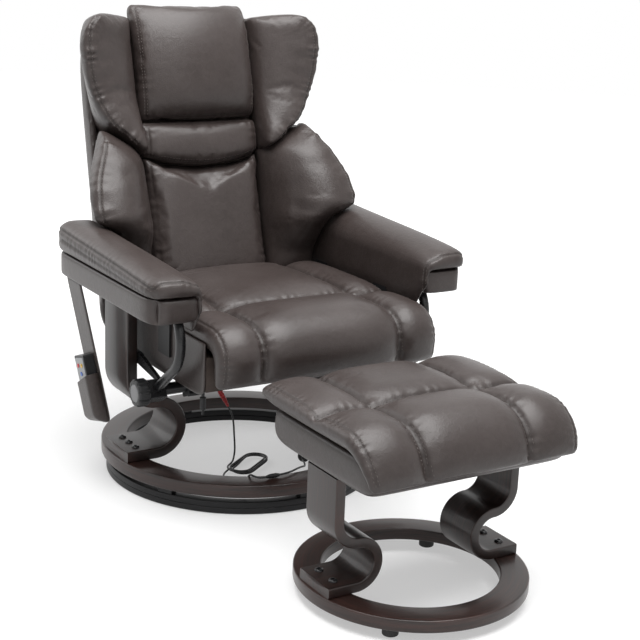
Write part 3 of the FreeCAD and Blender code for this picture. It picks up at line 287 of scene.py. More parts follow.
STOOL_MIDDLE = np.array([-17.0, -706.0, 0.0])
lacquer = {"Specular_IOR_Level": 0.38, "Coat_Weight": 0.2, "Coat_Roughness": 0.14}
make_finish("chair_ring_wood", ring_wood(0.0, 0.0), **lacquer)
make_finish("stool_ring_wood", ring_wood(STOOL_MIDDLE[0] * MM, STOOL_MIDDLE[1] * MM), **lacquer)
make_finish("bent_leg_wood", leg_wood, **lacquer)
make_finish("dark_ply", dark_ply)
print("wood finishes made")

# %% [markdown]
# ## Steel, plastic and rubber
# Lacquered steel has a faint orange-peel, moulded plastic a fine spark-eroded grain, and
# rubber a dusty bloom. All three are one recipe: a colour that drifts a little, a roughness
# that drifts with it, and a bump at the scale of the surface.

# %% Hard finishes


def moulded(colour, rough, grain_scale, drift=0.25):
    """A colour that drifts by a share of itself, and a roughness and fine bump that follow it."""
    dark = tuple(part * (1.0 - drift) for part in colour) + (1.0,)
    light = tuple(min(1.0, part * (1.0 + drift)) for part in colour) + (1.0,)

    def recipe(paint):
        where = paint.place()
        cloud = paint.noise(where, 24.0, 4.0)
        fine = paint.noise(where, grain_scale, 2.0)
        return {
            "Base Color": paint.blend(cloud, dark, light),
            "Roughness": rough - 0.06 + cloud * 0.08 + fine * 0.05,
            "Normal": paint.bump(fine, 0.12, 0.0004),
        }

    return recipe


enamel = {"Specular_IOR_Level": 0.3, "Coat_Weight": 0.12, "Coat_Roughness": 0.08}
make_finish("black_lacquered_steel", moulded((0.011, 0.011, 0.012), 0.27, 500.0), **enamel)
track_steel = moulded((0.014, 0.014, 0.015), 0.4, 700.0)
make_finish("black_track_steel", track_steel, Specular_IOR_Level=0.25)
make_finish("bare_steel", moulded((0.55, 0.55, 0.57), 0.3, 800.0, 0.08), Metallic=1.0)
black_plastic = moulded((0.013, 0.013, 0.014), 0.38, 1800.0)
make_finish("black_plastic", black_plastic, Specular_IOR_Level=0.3)
make_finish("silver_plastic", moulded((0.27, 0.28, 0.29), 0.32, 1500.0, 0.06), Metallic=0.2)
PLAIN_FINISHES = {
    "grey_plastic": ((0.16, 0.16, 0.165), 0.34, 1500.0, 0.1),
    "dark_nylon": ((0.06, 0.06, 0.062), 0.5, 1200.0),
    "red_rubber": ((0.5, 0.012, 0.016), 0.42, 900.0, 0.15),
    "cord_vinyl": ((0.012, 0.012, 0.013), 0.42, 1600.0),
    "red_plastic": ((0.6, 0.02, 0.02), 0.32, 1500.0, 0.1),
    "yellow_plastic": ((0.75, 0.45, 0.03), 0.32, 1500.0, 0.1),
    "blue_plastic": ((0.05, 0.14, 0.5), 0.32, 1500.0, 0.1),
    "black_rubber": ((0.018, 0.018, 0.018), 0.62, 700.0),
}
for name, settings in PLAIN_FINISHES.items():
    make_finish(name, moulded(*settings))
print(len(finishes), "finishes")

# %% [markdown]
# ## The mains lead
# A thin black lead leaves a red boot under the control box, drops to the floor, lies in a
# folded bundle, climbs over the ring to an inline joint and comes back down to a round
# adapter inside the ring. A lead is one smooth curve, so it is one NURBS spline through listed
# points. The bundle's turns are worked out from their radii, as they are on a real hank.

# %% The lead as two splines
CORD_R = 2.1
BOOT_TOP = np.array([-72.0, 0.0, 208.0])
BOOT_END = np.array([-34.0, 0.0, 140.0])
JOINT_START = np.array([-83.0, -268.5, 73.4])
JOINT_END = np.array([-51.0, -268.5, 73.4])
ADAPTER_TIP = np.array([124.0, -76.0, 14.2])
ADAPTER_HEADING = math.radians(52.0)
ADAPTER_INSIDE = 40.0
DROP_POINTS = [
    (-22.8, 0.0, 119.9), (-17.0, 2.4, 95.0), (-14.0, 5.0, 70.0), (-11.0, 6.5, 46.0),
    (-11.0, 5.0, 26.0), (-17.0, -1.5, 12.5), (-28.0, -15.0, 8.0),
]
LEAD_POINTS = [
    (-53.6, -41.0, 2.4), (-71.0, -56.0, 2.2), (-84.0, -78.0, 2.2), (-91.0, -108.0, 2.2),
    (-95.0, -140.0, 2.4), (-97.0, -168.0, 6.0), (-99.0, -190.0, 18.0), (-101.0, -209.0, 38.0),
    (-104.0, -226.0, 62.0), (-107.0, -243.0, 74.5), (-107.0, -258.0, 75.5), (-97.0, -268.5, 73.4),
]
TAIL_POINTS = [
    (-40.0, -268.5, 73.4), (-20.0, -264.0, 73.0), (2.0, -253.0, 72.5), (24.0, -234.0, 66.0),
    (46.0, -208.0, 54.0), (66.0, -179.0, 41.0), (85.0, -148.0, 30.0), (102.0, -118.0, 22.0),
    (115.4, -87.0, 14.2),
]
BUNDLE_MIDDLE = (5.0, -28.0)
BUNDLE_TURN = math.radians(36.0)
BUNDLE_HALF_RUN = 35.0
BUNDLE_RADII = (30.0, 27.0, 24.0, 21.0, 24.0, 27.0)
BUNDLE_HIGH = 7.3
BUNDLE_LOW = 2.4
TURN_STEPS = np.radians([18.0, 54.0, 90.0, 126.0, 162.0])
TURN_REACH = 1.0 / math.cos(math.radians(18.0))
RUN_SHARE = 0.4


def bundle_points():
    """Each half turn is five points on a circle a little outside its radius, then two on the run."""
    across, side, rows = BUNDLE_RADII[0], -1.0, []
    for index, radius in enumerate(BUNDLE_RADII):
        height = BUNDLE_HIGH if index <= 3 else BUNDLE_LOW
        after = BUNDLE_HIGH if index < 3 else BUNDLE_LOW
        bend = TURN_REACH * radius
        for turn in TURN_STEPS:
            along = side * (BUNDLE_HALF_RUN + bend * math.sin(turn))
            rows.append((along, across + side * (radius - bend * math.cos(turn)), height))
        across += 2.0 * side * radius
        rows.append((side * RUN_SHARE * BUNDLE_HALF_RUN, across, height))
        rows.append((-side * RUN_SHARE * BUNDLE_HALF_RUN, across, after))
        side = -side
    along, across, height = np.array(rows).T
    cos, sin = math.cos(BUNDLE_TURN), math.sin(BUNDLE_TURN)
    x = BUNDLE_MIDDLE[0] + along * cos - across * sin
    y = BUNDLE_MIDDLE[1] + along * sin + across * cos
    return np.stack([x, y, height], axis=1)


def lay_cord(name, points, body):
    """One open NURBS spline of order 3 through the points, with a round bevel."""
    curve = bpy.data.curves.new(name, "CURVE")
    curve.dimensions = "3D"
    curve.resolution_u = 8
    curve.bevel_depth = CORD_R * MM
    curve.bevel_resolution = 4
    curve.use_fill_caps = True
    spline = curve.splines.new("NURBS")
    spline.points.add(len(points) - 1)
    rows = np.ones((len(points), 4))
    rows[:, :3] = np.asarray(points) * MM
    spline.points.foreach_set("co", rows.ravel())
    spline.order_u = 3
    spline.use_endpoint_u = True
    cord = bpy.data.objects.new(name, curve)
    scene.collection.objects.link(cord)
    curve.materials.append(finishes["cord_vinyl"])
    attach(cord, body)
    print(name, len(points), "points")
    return cord


lead_route = np.concatenate([[BOOT_END], DROP_POINTS, bundle_points(), LEAD_POINTS, [JOINT_START]])
adapter_axis = np.array([math.cos(ADAPTER_HEADING), math.sin(ADAPTER_HEADING), 0.0])
tail_end = ADAPTER_TIP + ADAPTER_INSIDE * adapter_axis
tail_route = np.concatenate([[JOINT_END], TAIL_POINTS, [ADAPTER_TIP, tail_end]])
mains_lead = lay_cord("mains_lead", lead_route, "swivel")
mains_tail = lay_cord("mains_tail", tail_route, "swivel")
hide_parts("cord_drop", "cord_bundle", "cord_lead")
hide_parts("cord_tail")

# %% [markdown]
# ## From a formula to a mesh
# Nearly every new piece is one of three surfaces: a profile turned round an axis, a section
# carried along a path, or two sheets over the same square sewn together at the rim, which is
# how a cushion is cut. Each is a grid of points worked out as whole arrays. Welding the
# doubles closes poles and rims, and the faces are then turned to point outwards.

# %% Grids into closed meshes
WELD = 1e-6
SHARP = math.radians(38.0)
HANDS = (("left", 1.0), ("right", -1.0))


def grid_quads(rows, columns, wrap):
    """Corner numbers of each quad of a grid; wrap joins the last column to the first."""
    width = columns if wrap else columns - 1
    i, j = np.meshgrid(np.arange(rows - 1), np.arange(width), indexing="ij")
    k = (j + 1) % columns
    quads = [i * columns + j, i * columns + k, (i + 1) * columns + k, (i + 1) * columns + j]
    return np.stack(quads, axis=-1).reshape(-1, 4)


def closed_mesh(name, grids, layers=None):
    """One mesh of several (points, wrap) grids, in millimetres, welded and turned outwards."""
    mesh = bpy.data.meshes.new(name)
    points, faces, first = [], [], 0
    for grid, wrap in grids:
        rows, columns = grid.shape[:2]
        faces.append(grid_quads(rows, columns, wrap) + first)
        points.append(grid.reshape(-1, 3))
        first += rows * columns
    mesh.from_pydata((np.concatenate(points) * MM).tolist(), [], np.concatenate(faces).tolist())
    if layers is not None:
        mesh.attributes.new("layer", "FLOAT", "POINT").data.foreach_set("value", layers.ravel())
    shell = bmesh.new()
    shell.from_mesh(mesh)
    bmesh.ops.remove_doubles(shell, verts=shell.verts, dist=WELD)
    bmesh.ops.dissolve_degenerate(shell, edges=shell.edges, dist=WELD)
    bmesh.ops.recalc_face_normals(shell, faces=shell.faces)
    shell.to_mesh(mesh)
    shell.free()
    mesh.shade_smooth()
    mesh.set_sharp_from_angle(angle=SHARP)
    return mesh


def add_piece(name, body, finish, mesh, *nodes):
    """Put a mesh into the scene on a body, in a finish, in place of these solids."""
    piece = bpy.data.objects.new(name, mesh)
    scene.collection.objects.link(piece)
    mesh.materials.clear()
    mesh.materials.append(finishes[finish])
    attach(piece, body)
    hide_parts(*nodes)
    print(name, len(mesh.polygons), "faces on", body)
    return piece


def add_solid(name, body, finish, grids, *nodes, layers=None):
    """A piece made of grids that run all the way round."""
    mesh = closed_mesh(name, [(grid, True) for grid in grids], layers)
    return add_piece(name, body, finish, mesh, *nodes)


def rounded_rect(half_a, half_b, radius, steps=6):
    """Closed outline of four quarter circles joined by straight sides, as rows of (a, b)."""
    turn = np.linspace(0.0, np.pi / 2, steps)
    sides = np.array([(1, 1), (-1, 1), (-1, -1), (1, -1)])
    angles = turn + np.arange(4)[:, None] * np.pi / 2
    arcs = radius * np.stack([np.cos(angles), np.sin(angles)], axis=-1)
    middles = sides * np.array([half_a - radius, half_b - radius])
    return (arcs + middles[:, None]).reshape(-1, 2)


def capped(grid):
    """The grid with its first and last rows drawn together to their middles."""
    first = np.broadcast_to(grid[:1].mean(axis=1, keepdims=True), grid[:1].shape)
    last = np.broadcast_to(grid[-1:].mean(axis=1, keepdims=True), grid[-1:].shape)
    return np.concatenate([first, grid, last])


def turned(profile, centre=(0.0, 0.0, 0.0), axis=(0.0, 0.0, 1.0), count=96, flutes=None):
    """Point = centre + height * axis + radius * spoke, for each (radius, height) of a profile.
    flutes(radius, turn) may change the radius on the way round."""
    profile = np.asarray(profile, float)
    axis = unit(axis)
    side = unit(np.cross(axis, (0.0, 1.0, 0.0) if abs(axis[0]) > 0.9 else (1.0, 0.0, 0.0)))
    other = np.cross(axis, side)
    turn = np.linspace(0.0, 2 * np.pi, count, endpoint=False)
    spokes = np.cos(turn)[:, None] * side + np.sin(turn)[:, None] * other
    radius = np.repeat(profile[:, :1], count, axis=1)
    if flutes is not None:
        radius = flutes(radius, turn)
    return np.asarray(centre) + profile[:, 1, None, None] * axis + radius[..., None] * spokes


def carried(section, path, across):
    """Point = path + a * across + b * normal, for each (a, b) of a section along a flat path."""
    tangent = np.gradient(path, axis=0)
    tangent /= np.linalg.norm(tangent, axis=1, keepdims=True)
    normal = np.cross(tangent, across)
    sideways = section[:, 0, None] * np.asarray(across)
    return path[:, None] + sideways + section[:, 1, None] * normal[:, None]


print("three kinds of surface ready")

# %% [markdown]
# ## Boot, joint and adapter
# Each is a turned moulding on the lead. The boot is ribbed so that it bends without kinking,
# so its radius is a taper times a small wave along its length. The others are plain tapers,
# and the joint is the same at both ends, so only half of its profile is written down.

# %% Mouldings on the lead
BOOT_RIBS, RIB_HEIGHT = 11, 0.09
JOINT_LENGTH = 32.0
JOINT_HALF = np.array([
    (0.0, 0.0), (2.6, 0.0), (3.0, 0.6), (4.0, 5.0), (4.9, 9.0), (5.0, 11.0), (4.6, 11.6),
    (4.6, 13.0), (5.0, 13.6),
])
ADAPTER_PROFILE = [
    (0.0, 0.0), (2.8, 0.0), (3.2, 0.8), (6.0, 5.0), (11.0, 6.5), (12.8, 7.6), (13.8, 10.0),
    (14.0, 13.0), (14.0, 52.0), (13.5, 52.6), (13.5, 54.2), (14.0, 54.8), (14.0, 99.0),
    (13.6, 105.0), (12.4, 109.0), (10.0, 111.4), (7.0, 112.0), (0.0, 112.0),
]
boot_share = np.linspace(0.0, 1.0, 90)
boot_taper = np.interp(boot_share, [0.0, 0.55, 1.0], [4.0, 5.7, 3.2])
boot_fade = np.clip(4 * boot_share - 0.6, 0, 1)
boot_wave = 1.0 + RIB_HEIGHT * np.sin(2 * np.pi * BOOT_RIBS * boot_share) * boot_fade
boot_length = np.linalg.norm(BOOT_END - BOOT_TOP)
boot_profile = np.stack([boot_taper * boot_wave, boot_share * boot_length], axis=1)
boot_profile = np.concatenate([[(0.0, 0.0)], boot_profile, [(0.0, boot_length)]])
boot = turned(boot_profile, BOOT_TOP, BOOT_END - BOOT_TOP, 32)
add_solid("lead_boot", "swivel", "red_rubber", [boot], "cord_boot")
joint_profile = np.concatenate([JOINT_HALF, JOINT_HALF[::-1] * (1, -1) + (0, JOINT_LENGTH)])
joint = turned(joint_profile, JOINT_START, (1.0, 0.0, 0.0), 32)
lead_joint = add_solid("lead_joint", "swivel", "black_plastic", [joint], "inline_joint")
adapter = turned(ADAPTER_PROFILE, ADAPTER_TIP, adapter_axis, 48)
mains_adapter = add_solid("mains_adapter", "swivel", "black_plastic", [adapter], "power_adapter")

# %% [markdown]
# ## Track, rings and feet
# The swivel is two steel tracks under a wide wooden ring, and the footstool has a smaller ring
# on four rubber feet. A ring is a small closed outline turned round an upright axis. Its
# edges are rounded by about three millimetres, as a spinning cutter leaves them.

# %% Turned rings


def hoop(inner, outer, low, high, radius, centre=(0.0, 0.0, 0.0)):
    """A rounded rectangle (inner..outer, low..high) turned round the upright axis at centre."""
    outline = rounded_rect((outer - inner) / 2, (high - low) / 2, radius)
    outline = outline + np.array([(inner + outer) / 2, (low + high) / 2])
    return turned(np.concatenate([outline, outline[:1]]), centre, count=160)


track, upper_track = (282.0, 304.0, 0.0, 13.0, 1.2), (282.0, 304.0, 13.6, 26.6, 1.2)
wide_ring, small_ring = (258.0, 315.0, 40.0, 68.0, 3.2), (167.0, 221.0, 19.0, 43.0, 3.2)
for name, body, finish, node, ring in (
    ("floor_track", "floor_base", "black_track_steel", "floor_race", hoop(*track)),
    ("turning_track", "swivel", "black_track_steel", "swivel_race", hoop(*upper_track)),
    ("wood_ring", "swivel", "chair_ring_wood", "base_ring", hoop(*wide_ring)),
    ("stool_wood_ring", "footstool", "stool_ring_wood", "stool_ring", hoop(*small_ring, STOOL_MIDDLE)),
):
    add_solid(name, body, finish, [ring], node)
FOOT_PROFILE = [
    (0, 0), (13.2, 0), (14.6, 1.0), (15, 2.6), (15, 15), (14.2, 18.4), (13.4, 19), (0, 19),
]
FOOT_CIRCLE = 194.0
foot_turns = np.radians(45.0 + 90.0 * np.arange(4))
foot_ways = np.stack([np.cos(foot_turns), np.sin(foot_turns), 0 * foot_turns], axis=1)
feet = [turned(FOOT_PROFILE, place, count=40) for place in STOOL_MIDDLE + FOOT_CIRCLE * foot_ways]
add_solid("stool_rubber_feet", "footstool", "black_rubber", feet, "stool_feet")

# %% [markdown]
# ## Bent plywood legs
# Each leg is one board pressed into an S: a foot on the ring, a half turn inwards, a quarter
# turn back out and a straight post. A rounded rectangle carried along that path makes it.
# The chair's posts narrow towards the tilt pivot, which hides inside the arm.

# %% Legs as a section along an S


def s_path(bend_x, bend_r, foot_z, reach, top):
    """Foot, half turn about (bend_x, foot + r), quarter turn about (bend_x, foot + 3 r), post."""
    foot_x = np.linspace(reach, bend_x, 8)[:-1]
    lower = np.radians(np.linspace(270.0, 90.0, 37))[:-1]
    upper = np.radians(np.linspace(-90.0, 0.0, 19))
    post_z = np.linspace(foot_z + 3 * bend_r, top, 14)[1:]
    bends_x = bend_x + bend_r * np.cos(np.concatenate([lower, upper]))
    lower_z = foot_z + bend_r * (1 + np.sin(lower))
    upper_z = foot_z + bend_r * (3 + np.sin(upper))
    x = np.concatenate([foot_x, bends_x, np.full(13, bend_x + bend_r)])
    z = np.concatenate([np.full(7, foot_z), lower_z, upper_z, post_z])
    return np.stack([x, 0 * x, z], axis=1)


def bent_leg(hand, path, half_width, half_ply, reach, bend_x, taper):
    """Board along the path; taper gives the share of narrowing by height, about an offset middle."""
    section = rounded_rect(half_width, half_ply, 3.0)
    board = carried(section, path, (0.0, 1.0, 0.0))
    narrowing = taper(board[..., 2])
    board[..., 1] = board[..., 1] * (1 - 0.6 * narrowing) - 25.0 * narrowing
    in_foot = board[..., 2] < path[0, 2] + 2 * half_ply
    foot_share = np.clip((board[..., 0] - bend_x) / (reach - bend_x), 0, 1) * in_foot
    board[..., 0] -= (reach - np.sqrt(reach ** 2 - board[..., 1] ** 2)) * foot_share
    board[..., 0] *= hand
    depth = np.broadcast_to(section[:, 1] / half_ply, board.shape[:2])
    return capped(board), np.concatenate([depth[:1], depth, depth[-1:]])


LEG_BEND, LEG_REACH, LEG_SHOULDER, LEG_TOP = 238.0, 312.0, 438.0, 488.0
STOOL_BEND, STOOL_REACH, STOOL_POST = 152.0, 218.0, 268.0


def to_pivot(z):
    return np.clip((z - LEG_SHOULDER) / (LEG_TOP - LEG_SHOULDER), 0, 1)


leg_path = s_path(LEG_BEND, 58.0, 80.0, LEG_REACH, LEG_TOP)
stool_path = s_path(STOOL_BEND, 43.0, 53.0, STOOL_REACH, STOOL_POST)
stool_legs, stool_depths = [], []
for side, hand in HANDS:
    leg, depth = bent_leg(hand, leg_path, 60.0, 12.0, LEG_REACH, LEG_BEND, to_pivot)
    add_solid(side + "_bent_leg", "swivel", "bent_leg_wood", [leg], side + "_leg", layers=depth)
    leg, depth = bent_leg(hand, stool_path, 50.0, 10.0, STOOL_REACH, STOOL_BEND, np.zeros_like)
    stool_legs.append(leg + STOOL_MIDDLE)
    stool_depths.append(depth)
stool_depths = np.concatenate(stool_depths)
add_solid("stool_bent_legs", "footstool", "bent_leg_wood", stool_legs, "stool_legs", layers=stool_depths)

# %% [markdown]
# ## Bolts
# Furniture bolts have a low domed head with a socket in it. One profile makes them all: up the
# side, over the dome and down into the socket, turned round each bolt's own axis.

# %% Domed bolt heads
HEAD_SHARES = np.array([
    (0, 0.45), (0.36, 0.45), (0.4, 0.97), (0.46, 1.0), (0.7, 0.9), (0.88, 0.66), (0.98, 0.34),
    (1, 0), (0, 0),
])
BIG_HEAD, SMALL_HEAD = HEAD_SHARES * (8.5, 4.5), HEAD_SHARES * (6.5, 4.0)
leg_heads, stool_heads = [], []
for side, hand in HANDS:
    for row in (-35.0, 0.0, 35.0):
        leg_heads.append(turned(BIG_HEAD, (hand * 277.0, row, 92.0), count=24))
    for row in (-47.0, -29.0):
        leg_heads.append(turned(SMALL_HEAD, (hand * 276.0, row, 303.0), (-hand, 0.0, 0.0), 24))
    for row in (-24.0, 24.0):
        stool_heads.append(turned(BIG_HEAD, STOOL_MIDDLE + (hand * 188.0, row, 63.0), count=24))
add_solid("leg_bolt_heads", "swivel", "black_lacquered_steel", leg_heads, "leg_bolts")
add_solid("stool_bolt_heads", "footstool", "black_lacquered_steel", stool_heads, "stool_bolts")

# %% [markdown]
# ## Curved tubes and tension knobs
# Each side tube is bent so that its lower stretch is an arc about the tilt pivot: it slides
# through a clamp as the seat tilts, and the knob's stud presses on it to hold the tilt. The
# tube is a circle carried along arc, straight and bend. The knob's rim is fluted for grip.

# %% Tubes
TILT_PIVOT = np.array([-25.0, 470.0])
GLIDE_R, TUBE_X, TUBE_R = 250.0, 293.0, 10.0
TUBE_BEND_R, TUBE_RUN, ARM_LOW = 75.0, 95.0, 445.0
GLIDE_FIRST, GLIDE_LAST, CLAMP_TURN = 11.0, 38.0, 34.0
PLATE_HEIGHTS = np.array([441.0, 441.4, 444.6, 445.0])[:, None]
PLATE_INSETS = np.array([0.985, 1.0, 1.0, 0.985])[:, None]


def on_arc(centre, radius, degrees):
    """(y, z) below the centre, turned forwards by an angle."""
    turn = np.radians(degrees)
    return np.asarray(centre) - radius * np.stack([np.sin(turn), np.cos(turn)], axis=-1)


glide = on_arc(TILT_PIVOT, GLIDE_R, np.linspace(GLIDE_FIRST, GLIDE_LAST, 20))
run_way = np.array([-math.cos(math.radians(GLIDE_LAST)), math.sin(math.radians(GLIDE_LAST))])
run_end = glide[-1] + TUBE_RUN * run_way
bend_centre = run_end + (run_end - on_arc(run_end, TUBE_BEND_R, GLIDE_LAST))
bend_last = math.degrees(math.acos((bend_centre[1] - ARM_LOW) / TUBE_BEND_R))
bend = on_arc(bend_centre, TUBE_BEND_R, np.linspace(GLIDE_LAST, bend_last, 36))
tube_line = np.concatenate([glide, (glide[-1] + run_end)[None] / 2, bend])
circle = rounded_rect(TUBE_R, TUBE_R, TUBE_R, 9)
plate = rounded_rect(17.0, 36.0, 8.0)
plate_y = bend_centre[0] - TUBE_BEND_R * math.sqrt(0.5) + 19.0 + plate[:, 1] * PLATE_INSETS
plate_z = PLATE_HEIGHTS + 0 * plate[:, 0]
tube_grids = []
for side, hand in HANDS:
    path = np.insert(tube_line, 0, hand * TUBE_X, axis=1)
    plate_x = hand * TUBE_X + plate[:, 0] * PLATE_INSETS
    tube_grids.append(capped(carried(circle, path, (1.0, 0.0, 0.0))))
    tube_grids.append(capped(np.stack([plate_x, plate_y, plate_z], axis=-1)))
add_solid("arc_tubes", "seat_unit", "black_lacquered_steel", tube_grids, "side_tubes")

# %% Knobs
clamp_y, clamp_z = on_arc(TILT_PIVOT, GLIDE_R, CLAMP_TURN)
KNOB_PROFILE = [
    (0, 312.5), (22, 312.5), (26.4, 313.2), (28.6, 315.4), (29, 317), (29, 333.5), (28.4, 336),
    (26.4, 337.9), (24, 338.5), (19.4, 338.5), (19.2, 338.1), (19.2, 336.1), (0, 336.1),
]
CAP_PROFILE = [
    (0, 336.2), (18.9, 336.2), (18.9, 338.0), (18.2, 338.9), (15, 339.35), (8, 339.5), (0, 339.5),
]


def finger_grooves(radius, turn):
    """Ten hollows pressed into the rim, deepest where the radius is largest."""
    hollow = np.clip(np.cos(10 * turn), 0, 1) ** 2
    return radius - 3.0 * hollow * np.clip((radius - 23.0) / 6.0, 0, 1)


for side, hand in HANDS:
    body, centre, axis = side + "_knob_body", (0.0, clamp_y, clamp_z), (hand, 0.0, 0.0)
    rim = turned(KNOB_PROFILE, centre, axis, 160, finger_grooves)
    cap = turned(CAP_PROFILE, centre, axis, 64)
    add_solid(side + "_tension_knob", body, "black_plastic", [rim], side + "_knob")
    add_solid(side + "_tension_cap", body, "grey_plastic", [cap], side + "_knob_cap")

# %% [markdown]
# ## How a cushion is made
# A leather pad is two sheets sewn round the rim and stuffed. The two sheets share one square
# of parameters, s across and t along. The rim is where the squeeze falls to nothing.
# A voxel remesh gives an even skin, a short cloth simulation with pressure inside swells it
# between the sewn lines, which are held, and the seams are pressed in afterwards with the
# small gathers that sewing makes in leather.

# %% Two sheets and their squeeze


def squeeze(v, square, rim):
    """(1 - |v| ** square) ** (1 / rim): one in the middle, nothing at v = -1 and 1."""
    return np.clip(1 - np.abs(v) ** square, 0, 1) ** (1 / rim)


def ease(v, low, high):
    """Smooth step from 0 at low to 1 at high."""
    share = np.clip((v - low) / (high - low), 0, 1)
    return share * share * (3 - 2 * share)


def closely(count, extra=()):
    """Parameters from -1 to 1, closer together near both ends, with any extra ones."""
    return np.sort(np.concatenate([np.sin(np.linspace(-np.pi / 2, np.pi / 2, count)), extra]))


def two_sheets(shape, across, along, more_s=(), more_t=()):
    """Upper and lower sheets of a shape(s, t, side) over the same parameters."""
    s, t = np.meshgrid(closely(across, more_s), closely(along, more_t))
    return [(shape(s, t, 1.0), False), (shape(s, t, -1.0), False)]


def between(side, middle, upper, lower, body):
    """middle + (sheet - middle) * body, where the sheet is the upper or the lower one by side."""
    return middle + (np.where(side > 0, upper, lower) - middle) * body


def smooth_through(v, places, values):
    """Cubic through the places with level-keeping slopes: no overshoot between them."""
    places, values = np.asarray(places, float), np.asarray(values, float)
    gap = np.diff(places)
    rise = np.diff(values) / gap
    before, after = rise[:-1], rise[1:]
    inside = np.where(before * after > 0, 2 * before * after / (before + after + 1e-12), 0.0)
    slope = np.concatenate([rise[:1], inside, rise[-1:]])
    k = np.clip(np.searchsorted(places, v) - 1, 0, len(gap) - 1)
    u = np.clip((v - places[k]) / gap[k], 0, 1)
    start = (1 + 2 * u) * (1 - u) ** 2 * values[k] + u * (1 - u) ** 2 * gap[k] * slope[k]
    return start + u * u * (3 - 2 * u) * values[k + 1] + u * u * (u - 1) * gap[k] * slope[k + 1]


def read_points(mesh):
    flat = np.empty(3 * len(mesh.vertices))
    mesh.vertices.foreach_get("co", flat)
    return flat.reshape(-1, 3)


def read_normals(mesh):
    flat = np.empty(3 * len(mesh.vertices))
    mesh.vertex_normals.foreach_get("vector", flat)
    return flat.reshape(-1, 3)


def write_points(mesh, points):
    mesh.vertices.foreach_set("co", points.ravel())
    mesh.update()


def in_metres(points, hand=1.0):
    """Millimetres on the left side into metres on the side of a hand."""
    return points * np.array([hand, 1.0, 1.0]) * MM


def trace(shape, s, t, count=40, hand=1.0):
    """A line on the upper sheet of a shape, for s and t given as numbers or (from, to)."""
    s = np.linspace(*s, count) if isinstance(s, tuple) else np.full(count, s)
    t = np.linspace(*t, count) if isinstance(t, tuple) else np.full(count, t)
    return in_metres(shape(s, t, 1.0), hand)


def near_line(points, line):
    """Distance of each point from a polyline, and how far along it the nearest place is."""
    start = line[:-1]
    run = np.diff(line, axis=0)
    length = np.maximum(np.linalg.norm(run, axis=1), 1e-9)
    gap = points[:, None] - start
    share = np.clip((gap * run).sum(-1) / length ** 2, 0, 1)
    away = np.linalg.norm(gap - share[..., None] * run, axis=-1)
    pick = (np.arange(len(points)), away.argmin(axis=1))
    before = np.concatenate([[0.0], np.cumsum(length)[:-1]])
    return away[pick], (before + share * length)[pick]


def close_to(points, lines, reach):
    """Which points, in millimetres, lie within reach of any of the lines, in metres."""
    return np.any([near_line(points, line / MM)[0] < reach for line in lines], axis=0)


print("cushion tools ready")

# %% Stuffing by simulation
VOXEL = 0.006
FRAMES = 20
CLOTH = {
    "quality": 4, "mass": 0.3, "tension_stiffness": 12.0, "compression_stiffness": 12.0,
    "shear_stiffness": 4.0, "bending_stiffness": 0.4, "use_pressure": True,
    "uniform_pressure_force": 4.0, "vertex_group_mass": "held",
}


def settle(piece):
    """Replace the piece's mesh by what its modifiers make of it."""
    seen = piece.evaluated_get(bpy.context.evaluated_depsgraph_get())
    mesh = bpy.data.meshes.new_from_object(seen)
    piece.modifiers.clear()
    piece.data = mesh
    return mesh


def stuff(piece, held, limit):
    """Swell the piece with pressure for a few frames; held points stay, others move at most limit."""
    before = read_points(piece.data)
    group = piece.vertex_groups.new(name="held")
    group.add(np.flatnonzero(held).tolist(), 1.0, "REPLACE")
    cloth = piece.modifiers.new("stuffing", "CLOTH")
    for name, value in CLOTH.items():
        setattr(cloth.settings, name, value)
    cloth.settings.effector_weights.gravity = 0.0
    cloth.collision_settings.use_collision = False
    cloth.point_cache.frame_start = 1
    cloth.point_cache.frame_end = FRAMES
    for number in range(1, FRAMES + 1):
        scene.frame_set(number)
    mesh = settle(piece)
    piece.vertex_groups.clear()
    scene.frame_set(1)
    move = read_points(mesh) - before
    length = np.linalg.norm(move, axis=1, keepdims=True)
    write_points(mesh, before + move * np.minimum(1.0, limit / np.maximum(length, 1e-9)))
    print(piece.name, "swelled by up to", round(1000 * min(limit, length.max()), 1), "mm")


def press_seams(piece, seams):
    """Move points along their normals: down into each seam by a bell of its distance, and up and
    down beside it by a wave along the seam that dies away with distance, as gathered leather does.
    A seam is its line, then depth, width, gather, pitch and reach."""
    mesh = piece.data
    points, normals = read_points(mesh), read_normals(mesh)
    offset = np.zeros(len(points))
    sewn = np.zeros(len(points))
    for number, (line, depth, width, gather, pitch, reach) in enumerate(seams):
        low = line.min(axis=0) - 3 * reach
        high = line.max(axis=0) + 3 * reach
        close = np.flatnonzero(np.all((points > low) & (points < high), axis=1))
        away, along = near_line(points[close], line)
        bell = np.exp(-((away / width) ** 2))
        drift = 1.9 * np.sin(2 * np.pi * along / (3.7 * pitch) + number)
        swing = 0.62 + 0.38 * np.sin(2 * np.pi * along / (5.3 * pitch) + 2.0 * number)
        wave = np.sin(2 * np.pi * along / pitch + drift) * swing
        fade = np.exp(-((away / reach) ** 2))
        offset[close] += gather * wave * fade * (1 - 0.6 * bell) - depth * bell
        # The sewn mask grows with the seam's depth; the leather finish uses it for painted seam shade with
        # some dirt, and for a duller surface.
        sewn[close] = np.maximum(sewn[close], bell * min(1.0, depth / 0.002))
    write_points(mesh, points + normals * offset[:, None])
    mesh.attributes.new("sewn", "FLOAT", "POINT").data.foreach_set("value", sewn)
    mesh.shade_smooth()


def mirrored(mesh, name):
    """The same mesh with x turned round and its faces turned back outwards."""
    other = mesh.copy()
    other.name = name
    write_points(other, read_points(mesh) * np.array([-1.0, 1.0, 1.0]))
    other.flip_normals()
    return other


